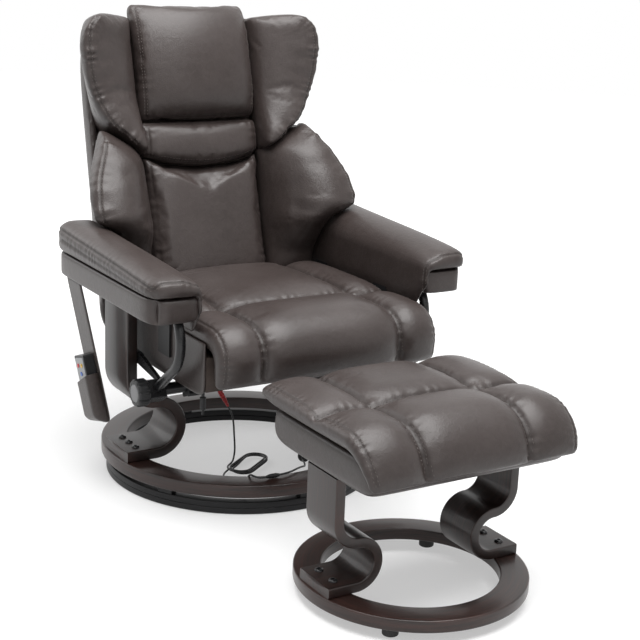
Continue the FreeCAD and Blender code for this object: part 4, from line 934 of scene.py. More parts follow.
def soft_piece(name, body, sheets, node, held, limit, voxel=VOXEL):
    """Leather pad in place of a solid: even skin, stuffing, and one subdivision."""
    piece = add_piece(name, body, "satin_leather", closed_mesh(name, sheets), node)
    remesh = piece.modifiers.new("even_skin", "REMESH")
    remesh.mode = "VOXEL"
    remesh.voxel_size = voxel
    settle(piece)
    if held is not None:
        stuff(piece, held(read_points(piece.data) / MM), limit)
    smooth = piece.modifiers.new("finer", "SUBSURF")
    smooth.levels = 1
    smooth.render_levels = 1
    settle(piece)
    piece.data.materials.clear()
    piece.data.materials.append(finishes["satin_leather"])
    return piece


def tight_piece(name, body, mesh, node):
    """Leather drawn tight over a board: it keeps the shape of its mesh."""
    piece = add_piece(name, body, "satin_leather", mesh, node)
    return piece


def soft_pair(stem, body, sheets, node, held, limit, voxel=VOXEL):
    """A soft piece on the left and its mirror image on the right, each with its hand."""
    left = soft_piece("left" + stem, body, sheets, "left" + node, held, limit, voxel)
    other = mirrored(left.data, "right" + stem)
    return (left, 1.0), (tight_piece("right" + stem, body, other, "right" + node), -1.0)


print("stuffing ready")

# %% [markdown]
# ## Stitches
# Top stitching on upholstery is a row of short proud dashes, often two rows beside a seam.
# Hundreds of them must stay light, so a stitch is an octahedron: two long ends, two sides,
# a top and a root. Each is laid on the finished pad at the nearest place to the seam's line.

# %% Rows of stitches
STITCH_PITCH, STITCH_LONG, STITCH_WIDE, STITCH_HIGH = 0.0072, 0.0052, 0.0011, 0.0009
STITCH_FACES = np.array([
    (0, 2, 4), (2, 1, 4), (1, 3, 4), (3, 0, 4), (2, 0, 5), (1, 2, 5), (3, 1, 5), (0, 3, 5),
])
stitched = {"seat_unit": [], "back": [], "footstool": []}


def evenly(line, pitch):
    """Points along a polyline at an even pitch, and the way it runs at each."""
    run = np.linalg.norm(np.diff(line, axis=0), axis=1)
    travelled = np.concatenate([[0.0], np.cumsum(run)])
    places = np.arange(pitch / 2, travelled[-1], pitch)
    spots = np.stack([np.interp(places, travelled, line[:, k]) for k in range(3)], axis=1)
    way = np.gradient(spots, axis=0)
    return spots, way / np.maximum(np.linalg.norm(way, axis=1, keepdims=True), 1e-9)


def laid(tree, spots):
    """Nearest places on a surface to the spots, and its normals there."""
    found = [tree.find_nearest(Vector(spot)) for spot in spots]
    return np.array([hit[0] for hit in found]), np.array([hit[1] for hit in found])


def stitch(body, piece, lines, apart):
    """Gather stitches on a piece, in a row at both sides of each line, or one row if apart is 0.
    Six points for each stitch: centre plus and minus its length, width and height."""
    faces = [tuple(face.vertices) for face in piece.data.polygons]
    tree = BVHTree.FromPolygons(read_points(piece.data).tolist(), faces)
    for line in lines:
        spots, way = evenly(line, STITCH_PITCH)
        on_line, normal = laid(tree, spots)
        side = np.cross(normal, way)
        long, wide = way * STITCH_LONG / 2, side * STITCH_WIDE / 2
        for offset in ((-apart, apart) if apart else (0.0,)):
            centre, out = laid(tree, on_line + offset * side)
            high = out * STITCH_HIGH
            arms = np.stack([-long, long, -wide, wide, high, -high], axis=1)
            stitched[body].append(centre[:, None] + arms)


def sew(name, body, rows):
    """All the stitches on one body as one light mesh."""
    points = np.concatenate(rows)
    faces = STITCH_FACES + 6 * np.arange(len(points))[:, None, None]
    mesh = bpy.data.meshes.new(name)
    mesh.from_pydata(points.reshape(-1, 3).tolist(), [], faces.reshape(-1, 3).tolist())
    mesh.shade_smooth()
    add_piece(name, body, "seam_thread", mesh)
    print(name, len(points), "stitches")


print("needle threaded")

# %% [markdown]
# ## Seat cushion
# Three columns and two rows of padding, in one slab that rolls over the front rail. The slab
# is bent along a path: level, a quarter turn, then down. Height above the path is the
# squeeze of s and t, less a valley along each channel.

# %% Seat


def over_nose(along, start, level_z, turn_y, turn_r):
    """(y, z) of a path that runs level to turn_y, turns down round a quarter circle, and drops;
    with the direction that points out of it."""
    flat = start - turn_y
    angle = np.clip((along - flat) / turn_r, 0, np.pi / 2)
    drop = np.clip(along - flat - turn_r * np.pi / 2, 0, None)
    y = start - np.minimum(along, flat) - turn_r * np.sin(angle)
    z = level_z - turn_r * (1 - np.cos(angle)) - drop
    return y, z, -np.sin(angle), np.cos(angle)


def valley(v, places, width):
    """Sum of cusps at the places: one on a channel, soon nothing away from it."""
    return sum(np.exp(-((np.abs(v - place) / width) ** 1.3)) for place in places)


def sewn_lines(shape, columns, row, far, edge):
    """Channels of a slab, two columns and a row, and the lines along its two side edges."""
    channels = [trace(shape, s, (-0.93, far)) for s in columns]
    channels.append(trace(shape, (-0.95, 0.95), row))
    return channels, [trace(shape, s, (-0.94, 0.94)) for s in (-edge, edge)]


CHANNEL = (0.006, 0.007, 0.0011, 0.026, 0.022)
HEM = (0.0016, 0.0028, 0.0011, 0.019, 0.012)
HEM_ROWS = 0.004


def sew_slab(body, pad, channels, edges, apart):
    """Press and stitch the channels and the edges of a slab."""
    seams = [(line, *CHANNEL) for line in channels] + [(line, *HEM) for line in edges]
    press_seams(pad, seams)
    stitch(body, pad, channels, apart)
    stitch(body, pad, edges, HEM_ROWS)


SEAT_HALF, SEAT_LENGTH, SEAT_ROW = 257.0, 552.0, 314.0
SEAT_NOSE = (118.0, 406.0, -322.0, 42.0)
SEAT_COLUMNS = (-160.0, 160.0)


def seat_shape(s, t, side):
    """Slab over the nose path: half thickness times the squeezes, less the channels on top."""
    along = SEAT_LENGTH * (t + 1) / 2
    y, z, out_y, out_z = over_nose(along, *SEAT_NOSE)
    x = SEAT_HALF * s
    body = squeeze(s, 9, 2.6) * squeeze(t, 14, 2.6)
    dent = np.clip(valley(x, SEAT_COLUMNS, 22.0) + valley(along, (SEAT_ROW,), 24.0), 0, 1)
    swell = 6.0 * np.cos(np.pi * s / 2) + 4.0 * np.cos(np.pi * t / 2)
    rise = np.where(side > 0, (35.0 + swell - 19.0 * dent) * body, -34.5 * body)
    return np.stack([x, y + rise * out_y, z + rise * out_z], axis=-1)


seat_at = [x / SEAT_HALF for x in SEAT_COLUMNS]
seat_channels, seat_edges = sewn_lines(seat_shape, seat_at, 2 * SEAT_ROW / SEAT_LENGTH - 1, 0.93, 0.955)


def seat_held(points):
    resting = (points[:, 2] < 376.0) & (points[:, 1] > -330.0)
    return resting | close_to(points, seat_channels, 9.0)


seat_sheets = two_sheets(seat_shape, 110, 120)
seat_pad = soft_piece("seat_pad", "seat_unit", seat_sheets, "seat_cushion", seat_held, 0.012)
sew_slab("seat_unit", seat_pad, seat_channels, seat_edges, 0.0095)

# %% [markdown]
# ## Arm pads and wrapped arm boxes
# An arm is a board box wrapped tight in leather, with a plump cover on top whose double
# stitched edge runs round it. On the sitter's side the cover runs on down past the box and
# closes the gap beside the seat. So the cover's two sheets follow two drawn sections,
# from the outer rim over the top and down to the inner hem. The front outer corner is
# round in plan. The box has a slot underneath for the leg's top, which swings inside it.

# %% Arm covers
ARM_MIDDLE, ARM_HALF, ARM_CENTRE_Y, ARM_HALF_Y = 325.0, 49.0, -77.0, 245.0
SECTION_PLACES = (-1.0, -0.72, -0.5, -0.3, 0.0, 0.4, 0.75, 0.92, 1.0)
COVER_X = (267.5, 259.6, 261.5, 275.0, 308.0, 344.0, 370.0, 376.0, 377.0)
COVER_Z = (403.0, 452.0, 503.0, 533.0, 551.0, 552.0, 541.0, 526.0, 514.5)
LINING_X = (267.5, 274.6, 275.0, 280.0, 308.0, 344.0, 368.0, 375.0, 377.0)
LINING_Z = (403.0, 452.0, 488.0, 495.8, 495.8, 495.8, 496.6, 503.0, 514.5)
RIM_SHARE = 0.36


def arm_corners(s, t):
    """Weights that reach one at the outer front and the outer rear corner."""
    outer = np.clip(s, 0, 1) ** 3
    return outer * np.clip(-t, 0, 1) ** 12, outer * np.clip(t, 0, 1) ** 16


def arm_pad_shape(s, t, side):
    """Cover and lining drawn as sections over s, carried along the arm; t rises to the rear."""
    padded = ease(s, -0.6, -0.1)
    front, rear = arm_corners(s, t)
    cover_x, cover_z, lining_x, lining_z = [
        smooth_through(s, SECTION_PLACES, values) for values in (COVER_X, COVER_Z, LINING_X, LINING_Z)
    ]
    hem_rise = 42.0 * ease(-t, 0.82, 0.98) * ease(-s, 0.45, 1.0)
    cover_z, lining_z = cover_z + hem_rise, lining_z + hem_rise
    cover_z = cover_z + 12.0 * t * padded - 6.0 * padded * np.clip(-t, 0, 1) ** 3
    body = squeeze(t, 26, 2.4)
    x = between(side, lining_x + RIM_SHARE * (cover_x - lining_x), cover_x, lining_x, body)
    z = between(side, lining_z + RIM_SHARE * (cover_z - lining_z), cover_z, lining_z, body)
    y = ARM_CENTRE_Y + (ARM_HALF_Y + 6.0 - 8.0 * (1 - padded)) * t + 21.0 * front - 9.0 * rear
    return np.stack([x - 20.0 * front - 9.0 * rear, y, z], axis=-1)


def arm_lines(hand):
    """The stitched edge along the outside, round the front and down the inner front corner,
    and the welt along the outer rim."""
    outside = np.linspace(0.97, -0.93, 70)
    round_front = np.linspace(0.8, -0.35, 40)
    down_front = np.linspace(-0.4, -0.95, 24)
    s = np.concatenate([0 * outside + 0.84, round_front, down_front])
    t = np.concatenate([outside, 0 * round_front - 0.968, 0 * down_front - 0.972])
    welt = arm_pad_shape(0 * outside + 0.995, outside, 1.0)
    return in_metres(arm_pad_shape(s, t, 1.0), hand), in_metres(welt, hand)


left_arm_edge = arm_lines(1.0)[0]


def arm_held(points):
    return (points[:, 2] < 500.0) | close_to(points, [left_arm_edge], 6.0)


arm_sheets = two_sheets(arm_pad_shape, 120, 170)
for arm_top, hand in soft_pair(
    "_arm_top", "seat_unit", arm_sheets, "_arm_pad", arm_held, 0.009, 0.0045
):
    edge, welt = arm_lines(hand)
    edge_seam = (edge, 0.0022, 0.0032, 0.0006, 0.027 + 0.002 * hand, 0.012)
    press_seams(arm_top, [edge_seam, (welt, 0.002, 0.004, 0.0007, 0.019, 0.008)])
    stitch("seat_unit", arm_top, [edge], HEM_ROWS)

# %% Arm boxes
SLOT_MIDDLE_X, SLOT_X, SLOT_FRONT, SLOT_REAR, SLOT_ROOF = 296.0, 16.0, -87.0, 79.0, 493.0
SLOT_WALL = 0.05
BOX_MIDDLE = 470.0


def arm_box_shape(s, t, side):
    """Tight box from 445 to 495 with soft edges, its corners pulled in, far at the outer front;
    the lower sheet steps up into the leg's slot."""
    front, rear = arm_corners(s, t)
    inner = np.clip(-s, 0, 1) ** 4 * np.clip(-t, 0, 1) ** 12
    x = ARM_MIDDLE + ARM_HALF * s - 21.0 * front + 8.0 * inner - 9.0 * rear
    y = ARM_CENTRE_Y + ARM_HALF_Y * t + 21.0 * front + 8.0 * inner - 9.0 * rear
    x = x - 12.0 * np.clip(-s, 0, 1) ** 6 * ease(-t, 0.7, 0.86)
    body = squeeze(s, 22, 5) * squeeze(t, 60, 5)
    slot = (np.abs(x - SLOT_MIDDLE_X) < SLOT_X) & (y > SLOT_FRONT) & (y < SLOT_REAR)
    low = np.where(slot, BOX_MIDDLE - SLOT_ROOF, 25.0)
    z = np.where(side > 0, BOX_MIDDLE + 24.9 * body, BOX_MIDDLE - low * body)
    return np.stack([x, y, z], axis=-1)


walls = (-SLOT_WALL, SLOT_WALL)
slot_x = [SLOT_MIDDLE_X + side * SLOT_X + wall for side in (-1, 1) for wall in walls]
slot_y = [end + wall for end in (SLOT_FRONT, SLOT_REAR) for wall in walls]
slot_s = [(x - ARM_MIDDLE) / ARM_HALF for x in slot_x]
slot_t = [(y - ARM_CENTRE_Y) / ARM_HALF_Y for y in slot_y]
wrap = closed_mesh("left_arm_wrap", two_sheets(arm_box_shape, 60, 150, slot_s, slot_t))
right_wrap = mirrored(wrap, "right_arm_wrap")
tight_piece("left_arm_wrap", "seat_unit", wrap, "left_arm_box")
tight_piece("right_arm_wrap", "seat_unit", right_wrap, "right_arm_box")

# %% [markdown]
# ## Seat sides
# Leather covered panels close the seat's frame at both sides. Each is a thin slab with round
# lower corners and a hem stitched a little way in from its edge.

# %% Side panels


def side_shape(s, t, side):
    """Thin slab: s along the chair, t up, with its corners pulled in and a soft edge."""
    corner = np.abs(s) ** 14 * np.clip(-t, 0, 1) ** 5
    y = -106.0 + 216.0 * s * (1 - 0.045 * corner)
    z = 344.0 + 56.0 * t + 9.0 * corner
    body = squeeze(s, 60, 3) * squeeze(t, 16, 3)
    x = 259.0 + side * 3.0 * body
    return np.stack([x, y, z], axis=-1)


panel_mesh = closed_mesh("left_seat_side", two_sheets(side_shape, 120, 50))
panels = {"left_seat_side": panel_mesh, "right_seat_side": mirrored(panel_mesh, "right_seat_side")}
for (name, mesh), (side, hand) in zip(panels.items(), HANDS):
    panel = tight_piece(name, "seat_unit", mesh, "seat_side_panels")
    stitch("seat_unit", panel, [trace(side_shape, (-0.94, 0.94), -0.8, hand=hand)], 0.003)

# %% [markdown]
# ## The back
# The back's cushions stand on a leaning board: a lumbar panel, a neck band whose lower seam
# smiles, a head pillow that overhangs it, and two wings. They are drawn upright about the
# recline hinge, as height and depth, and leaned by fifteen degrees at the end.

# %% Leaning and the middle cushions
LEAN = math.radians(15.0)
HINGE_Y, HINGE_Z = 165.0, 395.0
BACK_PLANE = 18.4
PAD_HALF, PAD_MIDDLE, PILLOW_MIDDLE = 149.0, -6.0, -8.0
LUMBAR_FOOT, BAND_TOP = -16.0, 365.0


def leaned(x, depth, height):
    """Turn (x, depth, height) about the hinge line by the lean."""
    y = HINGE_Y + depth * math.cos(LEAN) + height * math.sin(LEAN)
    z = HINGE_Z - depth * math.sin(LEAN) + height * math.cos(LEAN)
    return np.stack([x, y, z], axis=-1)


def smile(s):
    """Height of the seam between lumbar panel and neck band, low in the middle."""
    return 262.0 + 28.0 * s * s


def crowned(s, t, edge, across, along):
    """Depth of a front face: the edge's, and more towards the middle of both parameters."""
    return -edge - across * (1 - s * s) - along * (1 - t * t)


def lumbar_shape(s, t, side):
    """Panel from the seat up to the smile, plump in front, flat behind."""
    height = LUMBAR_FOOT + (smile(s) - LUMBAR_FOOT) * (t + 1) / 2
    body = squeeze(s, 9, 2.6) * squeeze(t, 16, 2.6)
    front = crowned(s, t, 30.0, 8.0, 5.0)
    return leaned(PAD_HALF * s, between(side, PAD_MIDDLE, front, BACK_PLANE, body), height)


def band_shape(s, t, side):
    """Band between the smile and the pillow."""
    low = smile(s) + 1.0
    height = low + (BAND_TOP - low) * (t + 1) / 2
    body = squeeze(s, 9, 2.6) * squeeze(t, 7, 2.4)
    front = crowned(s, t, 36.0, 9.0, 6.0)
    return leaned(PAD_HALF * s, between(side, PAD_MIDDLE, front, BACK_PLANE, body), height)


def pillow_shape(s, t, side):
    """Head pillow: crowned, drawn back at its top, its lower edge rolled over the band."""
    height = 502.0 + 133.0 * t - 5.0 * (1 - s * s) * np.clip(-t, 0, 1) ** 6
    x = PAD_HALF * s * (1 - 0.05 * np.abs(t) ** 12)
    body = squeeze(s, 6, 2.2) * squeeze(t, 6, 2.2)
    front = crowned(s, t, 45.0, 22.0, 14.0) + 16.0 * np.clip(t, 0, 1) ** 3
    return leaned(x, between(side, PILLOW_MIDDLE, front, BACK_PLANE, body), height)


def on_board(points):
    """Which points lie near the board, by their depth before the lean."""
    y, z = points[:, 1] - HINGE_Y, points[:, 2] - HINGE_Z
    return y * math.cos(LEAN) - z * math.sin(LEAN) > 10.0


SEAM_GATHER = (0.0014, 0.0035, 0.0009, 0.026, 0.016)
LONG_FOLDS = (0.0, 0.004, 0.0016, 0.07, 0.075)
FAINT_FOLDS = (0.0, 0.004, 0.0012, 0.095, 0.1)
BACK_ROWS = 0.0035
middle_pads = {
    "lumbar_pad": (lumbar_shape, "lumbar_panel", 90, 0.9, ((0.93, LONG_FOLDS), (0.94, SEAM_GATHER))),
    "neck_pad": (band_shape, "neck_band", 50, 0.93, ((-0.9, SEAM_GATHER), (0.9, SEAM_GATHER))),
    "head_pad": (pillow_shape, "head_pillow", 90, 0.9, ((-0.93, SEAM_GATHER), (0.0, FAINT_FOLDS))),
}
for name, (shape, node, along, far, across) in middle_pads.items():
    pad = soft_piece(name, "back", two_sheets(shape, 90, along), node, on_board, 0.009)
    seams = [(trace(shape, (-far, far), t), *settings) for t, settings in across]
    sides = [trace(shape, s, (-0.9, 0.9)) for s in (-0.9, 0.9)]
    press_seams(pad, seams + [(line, *SEAM_GATHER) for line in sides])
    if name == "head_pad":
        stitch("back", pad, sides, BACK_ROWS)
    if name == "neck_pad":
        stitch("back", pad, [trace(shape, (-0.93, 0.93), -0.86)], BACK_ROWS)

# %% [markdown]
# ## Wings and bolsters
# The wings stand forward beside the pillow, and the bolsters come down from them to rest over
# the arms. A wing's outline is read height by height from a few smooth points, and its depth
# grows towards its outer edge. A bolster is a plump roll: its front sheet climbs steeply
# from the seam beside the lumbar panel, then runs out level to its edge over the arm.

# %% Wings
WING_HEIGHTS = (290.0, 326.0, 360.0, 412.0, 474.0, 525.0, 558.0, 582.0, 596.0, 603.0)
WING_EDGES = (154.0, 202.0, 245.0, 274.0, 292.0, 297.0, 292.0, 276.0, 252.0, 218.0)
WING_ROOT, WING_REACH = 150.8, 145.0
WING_EDGE = (0.0026, 0.0032, 0.0018, 0.02, 0.015)
WING_FOLDS = (0.0, 0.004, 0.0016, 0.055, 0.03)


def wing_shape(s, t, side):
    """Front face grows from the pillow to the outer edge, and leans forward towards its top."""
    height = 446.5 + 156.5 * t
    edge = smooth_through(height, WING_HEIGHTS, WING_EDGES)
    x = WING_ROOT + (edge - WING_ROOT) * (s + 1) / 2
    reach = np.clip((x - WING_ROOT) / WING_REACH, 0, 1)
    front = -48.0 - reach * (14.0 + 0.27 * (height - 330.0)) - 9.0 * np.sin(np.pi * reach)
    front = front - 28.0 * (1 - ease(height, 300.0, 440.0))
    rear = BACK_PLANE - 92.0 * ease(x, 228.0, 300.0)
    body = squeeze(s, 10, 2.4) * squeeze(t, 18, 2.4)
    return leaned(x, between(side, 0.45 * front + 0.55 * rear, front, rear, body), height)


def wing_line(hand):
    return trace(wing_shape, 0.8, (-0.86, 0.9), 60, hand)


def wing_held(points):
    return on_board(points) | close_to(points, [wing_line(1.0)], 5.0)


wing_sheets = two_sheets(wing_shape, 70, 110)
for wing, hand in soft_pair("_wing_pad", "back", wing_sheets, "_wing", wing_held, 0.007):
    folds = trace(wing_shape, 0.55, (-0.8, 0.85), 60, hand)
    press_seams(wing, [(wing_line(hand), *WING_EDGE), (folds, *WING_FOLDS)])
    stitch("back", wing, [wing_line(hand)], BACK_ROWS)

# %% Bolsters
EDGE_HEIGHTS = (
    394.0, 450.0, 490.0, 509.0, 524.0, 539.0, 551.0, 559.0,
    566.0, 580.0, 600.0, 640.0, 667.0, 690.0, 716.0, 760.0,
)
EDGE_X = (
    256.5, 256.5, 256.5, 257.5, 261.0, 270.0, 286.0, 303.0,
    316.0, 326.0, 328.0, 321.0, 310.0, 298.0, 281.0, 250.0,
)
EDGE_Y = (
    128.0, 122.0, 98.0, 86.0, 76.0, 66.0, 58.0, 54.0,
    50.0, 48.0, 56.0, 78.0, 98.0, 112.0, 132.0, 160.0,
)
BOLSTER_FOOT, BOLSTER_CREASE, BOLSTER_CLIMB, BOLSTER_ROOT = 394.0, 694.0, 58.0, 151.0
BOLSTER_EDGE = (0.0024, 0.0032, 0.0016, 0.03, 0.022)
BOLSTER_FOLDS = (0.0, 0.004, 0.0015, 0.06, 0.06)


def bolster_shape(s, t, side):
    """Front sheet climbs steeply from the lumbar seam and runs out to the edge over the arm;
    the rear sheet lies on the board and turns forward to meet it. The top follows the wing."""
    u = (s + 1) / 2
    z = BOLSTER_FOOT + (BOLSTER_CREASE + BOLSTER_CLIMB * u - BOLSTER_FOOT) * (t + 1) / 2
    edge_x = smooth_through(z, EDGE_HEIGHTS, EDGE_X)
    edge_y = smooth_through(z, EDGE_HEIGHTS, EDGE_Y)
    edge = (edge_y - HINGE_Y) * math.cos(LEAN) - (z - HINGE_Z) * math.sin(LEAN)
    x = BOLSTER_ROOT + (edge_x - BOLSTER_ROOT) * u
    front = -24.0 + (edge + 24.0) * (1 - (1 - u) ** 4) - 10.0 * np.sin(np.pi * u)
    rear = BACK_PLANE + (edge + 34.0 - BACK_PLANE) * ease(x, 214.0, edge_x + 12.0)
    middle = -6.0 + (edge + 26.0) * u ** 2 * (1 - 0.5 * np.clip(t, 0, 1) ** 2)
    body = squeeze(s, 12, 2.5) * squeeze(t, 10, 2.3)
    depth = between(side, middle, front, rear, body)
    y = HINGE_Y + (depth + (z - HINGE_Z) * math.sin(LEAN)) / math.cos(LEAN)
    return np.stack([x, y, z], axis=-1)


def bolster_line(hand):
    return trace(bolster_shape, 0.86, (0.0, 0.9), 60, hand)


def bolster_held(points):
    return on_board(points) | (points[:, 2] < 510.0) | close_to(points, [bolster_line(1.0)], 5.0)


bolster_sheets = two_sheets(bolster_shape, 90, 110)
for bolster, hand in soft_pair(
    "_bolster_pad", "back", bolster_sheets, "_bolster", bolster_held, 0.008
):
    foot = trace(bolster_shape, (-0.6, 0.8), -0.1, 60, hand)
    press_seams(bolster, [(bolster_line(hand), *BOLSTER_EDGE), (foot, *BOLSTER_FOLDS)])
    stitch("back", bolster, [bolster_line(hand)], BACK_ROWS)

# %% [markdown]
# ## The back's shell
# Behind the board a leather covered shell closes the back. It is wide and shallow, with round
# corners and a slight bulge, and a lip that wraps round the board's sides and top.

# %% Shell
LIP_SIDE, LIP_TOP, LIP_DEPTH = 0.922, 0.944, 33.6
SHELL_FRONT, SHELL_SEAM = 29.6, (0.002, 0.003, 0.0012, 0.024, 0.016)


def shell_shape(s, t, side):
    """Flat behind the board with a lip round it, bulging at the rear; rounder at the top."""
    corner = np.abs(s) ** 5 * (0.16 * np.clip(t, 0, 1) ** 9 + 0.07 * np.clip(-t, 0, 1) ** 12)
    x = (261.0 - 7.0 * t) * s * (1 - corner)
    height = 254.0 + 351.0 * t * (1 - 0.045 * np.abs(s) ** 9 * np.clip(t, 0, 1) ** 4)
    body = squeeze(s, 24, 3) * squeeze(t, 28, 3)
    outside = (np.abs(s) / LIP_SIDE) ** 10 + (np.clip(t, 0, 1) / LIP_TOP) ** 10
    front = SHELL_FRONT - LIP_DEPTH * ease(outside, 1.0, 1.25) * ease(height, -60.0, 20.0)
    rear = 56.0 + 9.0 * (1 - s * s) + 8.0 * (1 - t * t)
    depth = np.where(side > 0, front + (rear - front) * body, front)
    return leaned(x, depth, height)


shell_sheets = two_sheets(shell_shape, 100, 130)
back_cover = soft_piece("back_cover", "back", shell_sheets, "back_shell", None, 0.0, 0.0068)
cover_lines = [trace(shell_shape, s, (-0.93, 0.93), 60) for s in (-0.86, 0.86)]
cover_lines.append(trace(shell_shape, (-0.86, 0.86), 0.9, 60))
press_seams(back_cover, [(line, *SHELL_SEAM) for line in cover_lines])
stitch("back", back_cover, cover_lines, BACK_ROWS)

# %% [markdown]
# ## Footstool top
# The footstool repeats the seat: three columns, two rows, and a front row that rolls down over
# its box. The roll is thinner than the top, so the slab's thickness eases off along the path.

# %% Footstool cushion and box
STOOL_HALF, STOOL_LENGTH, STOOL_ROW = 234.0, 406.0, 196.0
STOOL_NOSE = (190.0, 363.0, -96.0, 85.0)
STOOL_COLUMNS = (-112.0, 118.0)


def stool_shape(s, t, side):
    """Slab over a nose path, thick on top and thin down the front, less its channels."""
    along = STOOL_LENGTH * (t + 1) / 2
    y, z, out_y, out_z = over_nose(along, *STOOL_NOSE)
    thick = 30.0 - 10.0 * ease(along, 290.0, 390.0)
    x = STOOL_HALF * s * (1 - 0.055 * np.clip(t, 0, 1) ** 6 - 0.03 * np.clip(-t, 0, 1) ** 8)
    body = squeeze(s, 6, 2.2) * squeeze(t, 10, 2.3)
    dent = np.clip(valley(x, STOOL_COLUMNS, 24.0) + valley(along, (STOOL_ROW,), 24.0), 0, 1)
    swell = 7.0 * np.cos(np.pi * s / 2) * np.cos(np.pi * t / 2)
    rise = np.where(side > 0, (thick + swell - (7.0 + 0.4 * thick) * dent) * body, -thick * body)
    return np.stack([x, y + rise * out_y, z + rise * out_z], axis=-1) + STOOL_MIDDLE


stool_at = [x / STOOL_HALF for x in STOOL_COLUMNS]
stool_row = 2 * STOOL_ROW / STOOL_LENGTH - 1
stool_channels, stool_edges = sewn_lines(stool_shape, stool_at, stool_row, 0.95, 0.945)


def stool_held(points):
    resting = (points[:, 2] < 340.0) & (points[:, 1] - STOOL_MIDDLE[1] > -160.0)
    return resting | close_to(points, stool_channels, 8.0)


stool_sheets = two_sheets(stool_shape, 110, 110)
stool_pad = soft_piece("stool_pad", "footstool", stool_sheets, "stool_cushion", stool_held, 0.009)
sew_slab("footstool", stool_pad, stool_channels, stool_edges, 0.009)


def stool_box_shape(s, t, side):
    """Wrapped box with soft edges: flat above, rolled down at the front, rounded below."""
    corner = np.abs(s) ** 10 * np.abs(t) ** 8
    x = 213.5 * s * (1 - 0.03 * corner)
    y = 171.5 * t * (1 - 0.035 * corner)
    low = squeeze(s, 30, 3.5) * squeeze(t, 8, 2.6)
    high = squeeze(s, 40, 4) * squeeze(t, 34, 4)
    roll = 34.0 * np.clip((-t - 0.6) / 0.4, 0, 1) ** 2
    z = np.where(side > 0, 300.0 + (34.0 - roll) * high, 300.0 - 32.0 * low)
    return np.stack([x, y, z], axis=-1) + STOOL_MIDDLE


stool_box = closed_mesh("stool_wrap", two_sheets(stool_box_shape, 110, 100))
tight_piece("stool_wrap", "footstool", stool_box, "stool_box")

# %% [markdown]
# ## Handset pouch
# A leather strap hangs from under the right arm, swung back a little, with a pocket sewn on
# its outside. The strap is a thin slab with round lower corners. The pocket is a single
# sheet that stands off the strap and closes in at its foot, given a wall by Solidify.

# %% Pouch
POUCH_TOP = np.array([-362.0, 92.0, 445.0])
POUCH_SWING, POUCH_CANT = math.radians(-15.8), math.radians(-6.4)
STRAP_LENGTH, STRAP_HALF, STRAP_FACE = 314.0, 36.8, np.array([0.005, 0.0, 0.0])
POCKET_OFF, POCKET_HALF, POCKET_WALL = 29.6, 36.6, 0.0022


def swung(a, b, angle):
    """The pair (a, b) turned by an angle."""
    cos, sin = math.cos(angle), math.sin(angle)
    return a * cos - b * sin, a * sin + b * cos


def hung(x, y, z):
    """Swing about X, then cant about Y, then hang from the pouch's top."""
    y, z = swung(y, z, POUCH_SWING)
    z, x = swung(z, x, POUCH_CANT)
    return np.stack([x, y, z], axis=-1) + POUCH_TOP


def strap_shape(s, t, side):
    """Thin slab from the arm down, its lower corners pulled in, its edges soft."""
    corner = np.abs(s) ** 3 * np.clip(-t, 0, 1) ** 16
    y = STRAP_HALF * s * (1 - 0.17 * corner)
    top = 10.5 * s - 1.0
    z = -STRAP_LENGTH + (STRAP_LENGTH + top) * (t + 1) / 2 + 6.0 * corner
    x = -2.5 + side * 2.4 * squeeze(s, 24, 2) * squeeze(t, 90, 2)
    return hung(x, y, z)


def pocket_shape(s, t, side):
    """One sheet from a slanted mouth down: it stands off the strap by a squeeze of s, and comes
    back to it along a quarter ellipse over the last quarter of its drop."""
    drop = (t + 1) / 2
    z = -212.0 - 9.0 * s - (98.0 - 9.0 * s) * drop
    foot = np.sqrt(1 - np.clip((drop - 0.76) / 0.24, 0, 1) ** 2)
    return hung(-5.0 - POCKET_OFF * squeeze(s, 10, 4) * foot, POCKET_HALF * s, z)


strap_mesh = closed_mesh("pouch_strap", two_sheets(strap_shape, 60, 120))
strap = tight_piece("pouch_strap", "seat_unit", strap_mesh, "handset_pouch")
pocket_mesh = closed_mesh("pouch_pocket", two_sheets(pocket_shape, 70, 60)[:1])
pocket = add_piece("pouch_pocket", "seat_unit", "satin_leather", pocket_mesh)
wall = pocket.modifiers.new("wall", "SOLIDIFY")
wall.thickness = POCKET_WALL
wall.offset = -1.0 if read_normals(pocket_mesh)[:, 0].mean() < 0 else 1.0
settle(pocket)
strap_edges = [trace(strap_shape, s, (-0.96, 0.98), 60) - STRAP_FACE for s in (-0.88, 0.88)]
stitch("seat_unit", strap, strap_edges, 0.0)
stitch("seat_unit", pocket, [trace(pocket_shape, (-0.9, 0.9), -0.86)], 0.0)

# %% [markdown]
# ## Sewing it all
# The stitches gathered on the way are now made into one mesh for each body, so that they
# travel with the leather they hold.

# %% All the stitches
for body, rows in stitched.items():
    sew(body + "_stitching", body, rows)

# %% [markdown]
# ## The solids that stay
# Castings, brackets, pins, frames and motors already have the right shape, so they keep it
# and only get their finish. Most of them sit inside, and show when the chair is opened up.

# %% Finishes for the remaining solids
kept_solids = {
    "dark_nylon": ["bearing_ring"],
    "black_plastic": ["ring_spacers", "lobed_collar", "spare_plug", "control_box", "handset"],
    "black_lacquered_steel": ["tube_clamps", "cross_frame"],
    "black_track_steel": ["arm_fittings", "seat_hinge_leaves", "back_hinge_leaves"],
    "bare_steel": ["pivot_pins"],
    "dark_ply": ["seat_frame", "seat_deck", "back_board"],
    "grey_plastic": ["seat_motors", "back_motors"],
    "silver_plastic": ["handset_face"],
    "red_plastic": ["power_button"],
    "yellow_plastic": ["heat_button"],
    "blue_plastic": ["mode_button"],
}
for finish, nodes in kept_solids.items():
    for node in nodes:
        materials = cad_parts[node].data.materials
        materials.clear()
        materials.append(finishes[finish])
print(sum(len(nodes) for nodes in kept_solids.values()), "solids kept")

